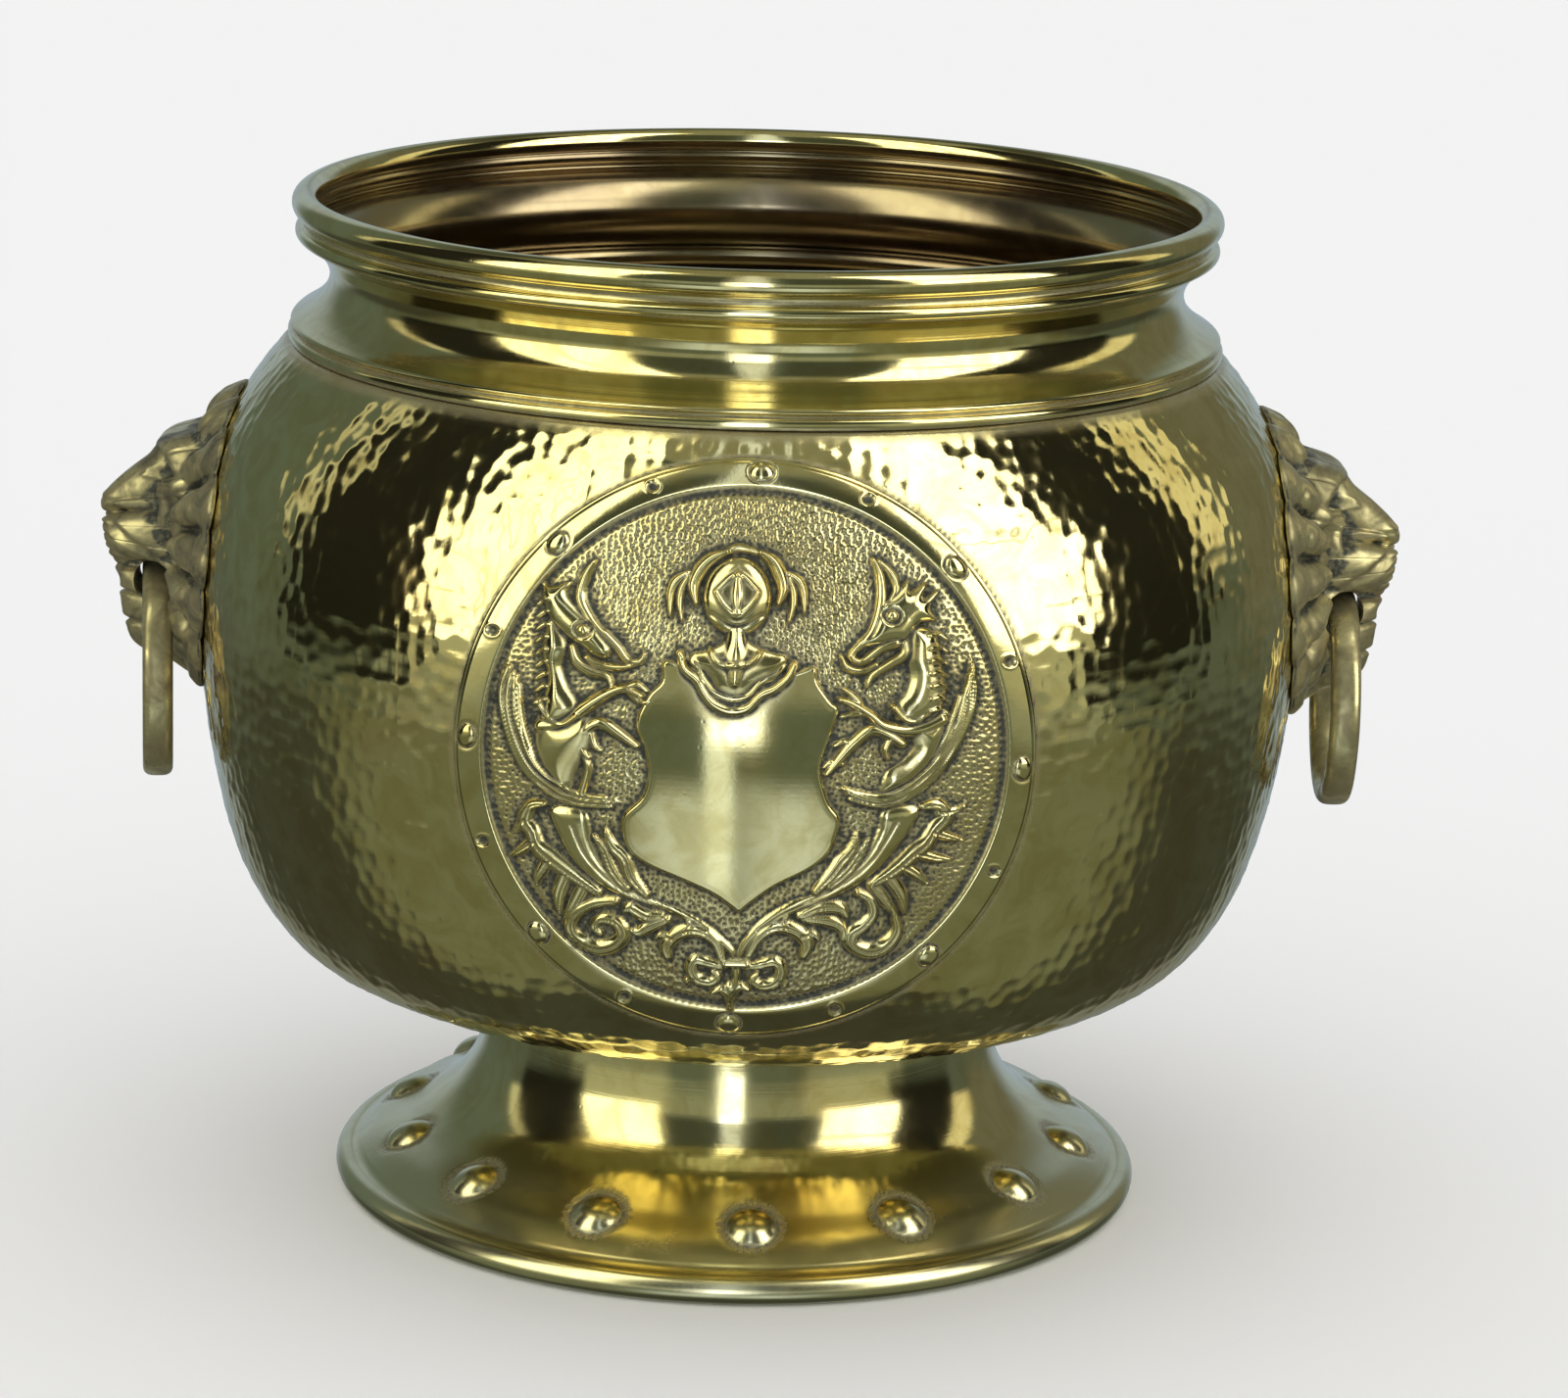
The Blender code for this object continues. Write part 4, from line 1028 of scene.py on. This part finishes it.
def draw_mask(across, height):
    """How far the cast face stands off the wall."""
    side = np.abs(across)
    relief = Relief(side, height, np.full(np.shape(side), 1.6))
    draw_mane(relief)
    # forelock, skull and temples
    relief.ridge([(0, 203), (.5, 211), (0, 219)], (8, 7, 4.5), (11, 7.4, 3), base=2.2, power=.7)
    relief.ridge([(6, 205), (10.5, 210.5), (12.5, 216)], (4.6, 4.6, 3), (10.5, 8.0, 4), base=2.0, power=.7)
    relief.dome(0, 191, 21, 19, 11.5, base=1.5, power=.6)
    relief.dome(19.5, 195.5, 3.2, 4.6, 9.4, base=1.2, power=.5)
    # cheek with a curl on it
    relief.dome(15.0, 183.0, 8.0, 9.0, 6.8, base=1.0, power=.55)
    relief.ridge([(21, 188.5), (17, 188.5), (14.6, 185), (15.6, 180.5), (19, 179)],
                 (1.6, 2.1, 2.4, 2.2, 1.5), (6.0, 8.0, 9.2, 8.0, 5.6), base=.8, power=.7)
    # muzzle: bridge, nose and the two halves of the upper lip
    relief.ridge([(0, 203), (0, 196), (0, 189)], (9.0, 8.4, 7.4), (12.5, 19.0, 24.5), base=3.2, power=.42)
    relief.dome(0, 187.0, 7.0, 5.0, 26.8, base=1.2, power=.42)
    relief.ridge([(4.2, 186.6), (6.6, 187.6)], 2.2, 23.0, base=1.6, power=.5)
    relief.dome(4.6, 179.4, 10.6, 9.4, 24.6, base=1.4, power=.55)
    relief.dome(9.2, 176.6, 6.2, 5.6, 17.0, base=1.2, power=.55)
    relief.dome(0, 173.0, 8.0, 5.0, 22.0, base=1.4, power=.55)
    # fold from the inner corner of the eye down to the lip, and on round the back of the mouth
    relief.ridge([(9.0, 195.5), (12.0, 190), (13.0, 183.5), (13.0, 177.5)], (2.4, 2.9, 2.9, 2.4),
                 (10.5, 10.8, 10.4, 9.0), base=1.2, power=.6)
    relief.ridge([(10.5, 176.5), (13.2, 173), (14.0, 167.5), (13.2, 161), (11.0, 156)],
                 (2.4, 2.6, 2.7, 2.6, 2.0), (10.4, 8.8, 7.8, 7.6, 6.0), base=1.0, power=.7)
    # brows
    relief.ridge([(0, 203.8), (6, 205.2), (11, 204.9), (15.5, 202.4), (18.6, 198.4)],
                 (6.2, 4.8, 4.2, 3.6, 2.4), (14.0, 14.0, 13.0, 10.6, 7.0), base=2.4, power=.55)
    # eyes, with lids
    relief.dome(11.2, 198.0, 4.9, 3.6, -4.6, add=True, power=.8)
    relief.dome(10.4, 198.2, 3.0, 2.5, 3.8, add=True, power=.55)
    relief.ridge([(6.4, 197.4), (10.2, 201.0), (14.8, 199.0)], 1.0, 1.5)
    relief.ridge([(6.6, 195.8), (10.8, 194.6), (15.2, 196.6)], 1.0, 1.4)
    relief.ridge([(8.6, 192.6), (12.4, 191.4), (16.4, 193.0)], 1.2, 1.3)
    # nostrils and the creases of the upper lip
    relief.dome(4.0, 185.2, 1.9, 1.3, -2.2, add=True, power=1)
    relief.ridge([(0, 183.6), (0, 180), (0, 173)], (.9, 1.0, 1.0), (-.8, -1.2, -1.0))
    relief.ridge([(2.4, 184.6), (6.4, 183.8), (9.6, 180.6), (11.6, 177.4), (13.6, 174)],
                 (1.0, 1.2, 1.3, 1.3, 1.0), (-.8, -1.8, -2.2, -2.2, -1.4))
    for rise in (182.0, 179.4, 176.8):
        relief.ridge([(3.6, rise), (6.4, rise - .4), (8.8, rise - 1.4)], .55, (-.3, -.7, -.3))
    # lower lip, chin and beard
    relief.ridge([(0, 166.6), (5.0, 166.2), (9.6, 165.4)], (5.0, 4.6, 3.4), (21.4, 20.4, 14.5),
                 base=1.2, power=.55)
    relief.dome(0, 158.6, 9.8, 6.8, 21.4, base=1.2, power=.55)
    relief.dome(0, 150.6, 8.6, 8.4, 19.4, base=1.2, power=.55)
    relief.ridge([(0, 171.2), (6, 171.4), (10.5, 172.6)], (1.0, 1.2, 1.0), (-1.6, -2.0, -1.4))
    relief.ridge([(0, 162.8), (5, 162.4), (9.6, 161.6)], .9, -1.6)
    relief.ridge([(0, 154.4), (4.6, 154.0), (8.4, 153.2)], .9, -1.4)
    for shift in (1.6, 4.4, 6.8):
        relief.ridge([(shift, 152.5), (shift * .92, 148), (shift * .7, 143.5)], (.8, 1.0, .7),
                     (-.7, -1.2, -.8))
    relief.ridge([(0, 147), (0, 142.5), (0, 138.5)], (7.0, 5.6, 3.2), (13.0, 7.0, 3.0), base=1.6, power=.6)
    return relief.h


def mask_heights(across, height):
    """The relief, pushed out or in so that its furthest line follows the face's profile."""
    line_height = np.linspace(*FACE_HEIGHTS)
    samples = np.linspace(*FACE_SAMPLES)
    grid_across, grid_height = np.meshgrid(samples, line_height)
    grid = draw_mask(grid_across.ravel(), grid_height.ravel()).reshape(grid_across.shape)
    radius = wall_radius(line_height)[:, None]
    furthest = (np.sqrt(radius ** 2 - grid_across ** 2) + grid).max(1)
    middle = np.array(FACE_LINE)[::-1]
    gap = np.interp(line_height, middle[:, 1], middle[:, 0]) - furthest
    window = 2 * GAP_BLUR + 1
    gap = np.convolve(np.pad(gap, GAP_BLUR, "edge"), np.full(window, 1 / window), "valid")
    reach = np.interp(height, *np.transpose(FACE_REACH))
    off = draw_mask(across, height) + np.interp(height, line_height, gap) * np.exp(-(across / reach) ** 4)
    return np.maximum(off, 1.0)


def even_out(values, times, reach):
    """Average a grid with the points some steps away along both its axes, a number of times."""
    for _ in range(times):
        outward = np.vstack([values[reach:], values[-reach:]])
        inward = np.vstack([values[:reach], values[:-reach]])
        values = (values + np.roll(values, reach, 1) + np.roll(values, -reach, 1) + outward + inward) / 5
    return values


def bore_mouth(mask, side_name, material):
    """Cut the round way that the ring passes through."""
    place = Matrix.Translation((SIDES[side_name] * MOUTH[0] * MM, 0, MOUTH[1] * MM))
    circles = [arc((0, 0), radius, 0, 360, BORE_SIDES)[:-1] for _, radius in MOUTH_BORE]
    depths = np.repeat([depth for depth, _ in MOUTH_BORE], BORE_SIDES)
    walls = np.column_stack([np.vstack(circles), depths])
    mesh = bpy.data.meshes.new(f"tunnel_{side_name}")
    k = np.arange(BORE_SIDES)
    faces = grid_quads(len(MOUTH_BORE), BORE_SIDES, wrap_columns=True).tolist()
    faces += [k[::-1].tolist(), (k + BORE_SIDES * (len(MOUTH_BORE) - 1)).tolist()]
    mesh.from_pydata((walls * MM).tolist(), [], faces)
    mesh.materials.append(material)
    # painted shade: the faces the bore cuts inside the mouth are dark all through
    shade = mesh.attributes.new("hollow_shade_and_tarnish", "FLOAT", "POINT")
    shade.data.foreach_set("value", np.ones(len(walls), np.float32))
    cutter = add_object(f"tunnel_{side_name}", mesh)
    cutter.matrix_world = place @ Matrix.Rotation(math.pi / 2, 4, "X")
    bore = mask.modifiers.new("mouth", "BOOLEAN")
    bore.operation = "DIFFERENCE"
    bore.solver = "EXACT"
    bore.object = cutter
    bpy.context.view_layer.update()
    graph = bpy.context.evaluated_depsgraph_get()
    bored = bpy.data.meshes.new_from_object(mask.evaluated_get(graph))
    mask.modifiers.clear()
    mask.data = bored
    bpy.data.objects.remove(cutter)


def make_mask(side_name, material):
    """A lion's face on a grid of rings and directions, closed behind along the wall."""
    side = SIDES[side_name]
    angle = full_turn(MASK_DIRECTIONS)
    share = (np.arange(MASK_RINGS) + 1) / MASK_RINGS
    reach = mask_edge(angle)[None, :] * share[:, None]
    across = reach * np.sin(angle)
    height = MASK_CENTRE + reach * np.cos(angle)
    shares = np.repeat(share[:, None], MASK_DIRECTIONS, 1)
    off = mask_heights(across.ravel(), height.ravel()).reshape(reach.shape)
    smooth = even_out(off, 3, 1)
    broad = even_out(smooth, 26, 2)
    # painted shade with tarnish in the face's hollows, and a painted dark band round the outline where it
    # meets the wall
    hollow_shade_and_tarnish = np.clip((broad - smooth) / HOLLOW_DEPTH, 0, 1) + 0.6 * step(shares, .975, 1.0)
    edge_round = np.sqrt(np.clip((1.0 - shares) / .06, 0, 1))
    smooth = MASK_EDGE + (smooth - MASK_EDGE) * (0.25 + 0.75 * edge_round)
    wall = np.sqrt(wall_radius(height) ** 2 - across ** 2)
    front = np.stack([side * (wall + smooth), across, height], -1)
    back_share = np.linspace(1, MASK_BACK_MIDDLE, MASK_BACK_RINGS)
    back_reach = mask_edge(angle)[None, :] * back_share[:, None]
    back_across = back_reach * np.sin(angle)
    back_height = MASK_CENTRE + back_reach * np.cos(angle)
    back_wall = np.sqrt(wall_radius(back_height) ** 2 - back_across ** 2)
    back = np.stack([side * (back_wall + MASK_BACK_GAP), back_across, back_height], -1)
    middle_off = float(smooth[0].mean())
    centre_wall = float(wall_radius(MASK_CENTRE))
    poles = [(side * (centre_wall + gap), 0, MASK_CENTRE) for gap in (middle_off, MASK_BACK_GAP)]
    points = np.vstack([front.reshape(-1, 3), back.reshape(-1, 3), poles])
    rows = MASK_RINGS + len(back_share)
    quads = grid_quads(rows, MASK_DIRECTIONS, wrap_columns=True)
    fans = pole_fans(rows, MASK_DIRECTIONS, len(points) - 2, len(points) - 1)
    if side > 0:
        quads, fans = quads[:, ::-1], fans[:, ::-1]
    # painted shade: the back against the wall is half dark
    hidden = np.full(len(points) - hollow_shade_and_tarnish.size, .5)
    values = {"hollow_shade_and_tarnish": np.concatenate([np.clip(hollow_shade_and_tarnish, 0, 1).ravel(), hidden])}
    mask = make_piece(f"lion_face_{side_name}", points, [quads, fans], material, "pot",
                      [f"lion_mask_{side_name}"], values)
    bore_mouth(mask, side_name, material)


# ---------------------------------------------------------------- rings

RING_RADIUS = 27.0
RING_HALF_DEPTH = 3.05
RING_HALF_WIDTH = 4.1
RING_TOP = 167.8
RING_STEPS = 200
RING_SECTIONS = 36
RING_SQUARENESS = (0.72, 0.62)      # of the bar's section, 1 for an oval and less for a squarer bar


def make_ring(side_name):
    """A handle ring of rounded flat bar, hanging from the mouth and a little out of true."""
    side = SIDES[side_name]
    angle = full_turn(RING_STEPS)
    around = full_turn(RING_SECTIONS)
    c, s = np.cos(around), np.sin(around)
    deep = RING_HALF_DEPTH * np.sign(c) * np.abs(c) ** RING_SQUARENESS[0]
    wide = RING_HALF_WIDTH * np.sign(s) * np.abs(s) ** RING_SQUARENESS[1]
    uneven = 1 + 0.012 * np.sin(3 * angle + side) + 0.01 * np.sin(7 * angle)
    radius = (RING_RADIUS + deep[None, :]) * uneven[:, None] ** 0.5
    y = radius * np.sin(angle)[:, None]
    z = RING_TOP - RING_RADIUS + radius * np.cos(angle)[:, None]
    x = np.broadcast_to(wide, radius.shape)
    turn = math.radians(RING_TURN[side_name])
    px = side * MOUTH[0] + x * math.cos(turn) - y * math.sin(turn)
    py = x * math.sin(turn) + y * math.cos(turn)
    points = np.stack([px, py, z], -1).reshape(-1, 3)
    quads = grid_quads(RING_STEPS, RING_SECTIONS, wrap_rows=True, wrap_columns=True)
    # painted shade where the ring passes into the mouth, and darker on its inner side
    top = np.exp(-(angle / .35) ** 2) + np.exp(-((angle - 2 * np.pi) / .35) ** 2)
    inner_side = np.clip(-c, 0, 1)
    hollow_shade_and_tarnish = np.clip(0.8 * top[:, None] + 0.35 * inner_side[None, :], 0, 1)
    make_piece(f"ring_{side_name}_turned", points, [quads], RING, f"{side_name}_ring",
               [f"ring_{side_name}"], {"hollow_shade_and_tarnish": hollow_shade_and_tarnish})


# ---------------------------------------------------------------- camera and light

CAMERA_PLACE = (0.0, -1.42983, 0.49855)    # metres
CAMERA_LENS = 123.351
SENSOR_WIDTH = 36.0
CAMERA_PITCH = math.radians(14.226)
CAMERA_YAW = math.radians(0.415)
CAMERA_ROLL = math.radians(1.574)


def make_camera():
    data = bpy.data.cameras.new("camera")
    data.lens = CAMERA_LENS
    data.sensor_width = SENSOR_WIDTH
    data.sensor_fit = "HORIZONTAL"
    camera = add_object("camera", data)
    sy, cy = math.sin(CAMERA_YAW), math.cos(CAMERA_YAW)
    forward = Vector((sy * math.cos(CAMERA_PITCH), cy * math.cos(CAMERA_PITCH), -math.sin(CAMERA_PITCH)))
    level = Vector((cy, -sy, 0))
    upright = level.cross(forward)
    right = math.cos(CAMERA_ROLL) * level + math.sin(CAMERA_ROLL) * upright
    up = math.cos(CAMERA_ROLL) * upright - math.sin(CAMERA_ROLL) * level
    turn = Matrix((right, up, -forward)).transposed().to_4x4()
    camera.matrix_world = Matrix.Translation(CAMERA_PLACE) @ turn
    bpy.context.scene.camera = camera


FLOOR_HALF = 6.0                    # metres, like the drop
FLOOR_DROP = 0.0002


def make_floor():
    corners = [(x * FLOOR_HALF, y * FLOOR_HALF, 0) for x, y in ((-1, -1), (1, -1), (1, 1), (-1, 1))]
    mesh = bpy.data.meshes.new("floor")
    mesh.from_pydata(corners, [], [(0, 1, 2, 3)])
    floor = add_object("floor", mesh)
    floor.location.z = -FLOOR_DROP
    material, n = new_material("floor_paint")
    shader = n.add("ShaderNodeBsdfPrincipled", {"Base Color": (0.93, 0.93, 0.93, 1), "Roughness": 0.9})
    shader.inputs["Specular IOR Level"].default_value = 0.1
    n.add("ShaderNodeOutputMaterial", {"Surface": shader.outputs[0]})
    mesh.materials.append(material)
    floor.visible_glossy = False


# The room as the metal sees it, painted in order over a dim base. Bearings are degrees from the front,
# positive towards +X; a panel on "both" sides is mirrored. Each row: side, bearing from and to, its
# softness, rise from and to, its softness, colour.
ROOM = (.10, .125, .105)
PANELS = [
    ("both", -1, 181, 1, 56, 100, 7, (.25, .26, .18)),
    ("both", 118, 181, 6, 44, 60, 5, (.06, .065, .05)),
    ("both", -1, 181, 1, -100, -18, 4, (.055, .062, .05)),
    ("both", -1, 96, 9, -60, -16, 4, (.17, .19, .13)),
    ("both", 150, 181, 9, -60, -16, 5, (.20, .22, .20)),
    ("both", -1, 24, 12, -50, -26, 3.5, (.66, .76, .80)),
    ("both", -1, 79, 2, -19, 7, 3, (.28, .31, .24)),
    ("both", 4, 32, 4, -26, -10, 3, (.12, .15, .12)),
    ("both", 30, 72, 4, -12, 4, 3, (.44, .46, .32)),
    ("both", 7, 35, 2.5, 9, 53, 4, (.055, .068, .05)),
    ("both", 71, 107, 2, -11, 60, 4, (.012, .013, .009)),
    ("left", 107, 113, 2, 3, 42, 4, (.6, .6, .42)),
    ("right", 107, 119, 2, 2, 44, 4, (.85, .80, .50)),
    ("left", 115, 150, 4, -12, 48, 6, (.11, .145, .125)),
    ("right", 122, 150, 4, -12, 48, 6, (.15, .155, .115)),
    ("both", 152, 181, 8, -20, 32, 7, (.34, .42, .50)),
    ("left", 34, 70, 1.5, -2, 70, 2, (2.5, 2.5, 1.85)),
    ("left", 52.5, 54, .5, -2, 60, 2, (.5, .5, .4)),
    ("right", 39, 75, 1.5, 0, 72, 2, (3.1, 3.1, 2.65)),
    ("right", 39, 75, 1.5, 29, 31, .7, (.4, .4, .3)),
    ("strip", -6, 3, 1.5, -17, 74, 6, (.85, .95, 1.0)),
    ("strip", -8, -2.5, 1.3, -36, -14, 5, (1.0, 1.15, 1.2)),
    ("strip", -7, 3, 1.5, -17, 13, 3, (3.0, 3.3, 3.6)),
]
WHITE = (0.97, 0.97, 0.97, 1)       # what everything but a reflection sees


def make_studio():
    """A dim room with bright soft panels for the metal to reflect, and even light for everything else."""
    world = bpy.data.worlds.new("studio")
    world.use_nodes = True
    bpy.context.scene.world = world
    n = Nodes(world.node_tree)
    way = n.add("ShaderNodeSeparateXYZ", {"Vector": n.add("ShaderNodeTexCoord").outputs["Generated"]})
    x, y, z = (way.outputs[k] for k in "XYZ")
    bearing = n.math("DEGREES", n.math("ARCTAN2", x, n.math("MULTIPLY", y, -1.0)))
    rise = n.math("DEGREES", n.math("ARCSINE", z))
    bearings = {"both": n.math("ABSOLUTE", bearing), "left": n.math("MULTIPLY", bearing, -1.0),
                "right": bearing, "strip": bearing}

    def between(value, low, high, soft):
        start = n.span(value, low - soft, low + soft)
        return n.math("MULTIPLY", start, n.span(value, high - soft, high + soft, 1.0, 0.0))

    room = (*ROOM, 1)
    for side, low, high, soft, bottom, top, fade, paint in PANELS:
        sideways = between(bearings[side], low, high, soft)
        share = n.math("MULTIPLY", sideways, between(rise, bottom, top, fade))
        room = n.mix(share, room, (*paint, 1))
    glossy = n.add("ShaderNodeLightPath").outputs["Is Glossy Ray"]
    background = n.add("ShaderNodeBackground", {"Color": n.mix(glossy, WHITE, room), "Strength": 1.0})
    n.add("ShaderNodeOutputWorld", {"Surface": background.outputs[0]})
    bpy.context.scene.view_settings.view_transform = "Standard"


# ---------------------------------------------------------------- everything

make_bowl()
make_roundel()
make_neck()
make_foot()
make_mask("left", CAST_LEFT)
make_mask("right", CAST_RIGHT)
for name in SIDES:
    make_ring(name)
wire = steel("edge_wire_look")
for name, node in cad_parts.items():
    if node.hide_render:
        continue
    finish = wire if name.endswith("_wire") else FIXING
    for slot in node.material_slots:
        slot.material = finish
make_camera()
make_floor()
make_studio()
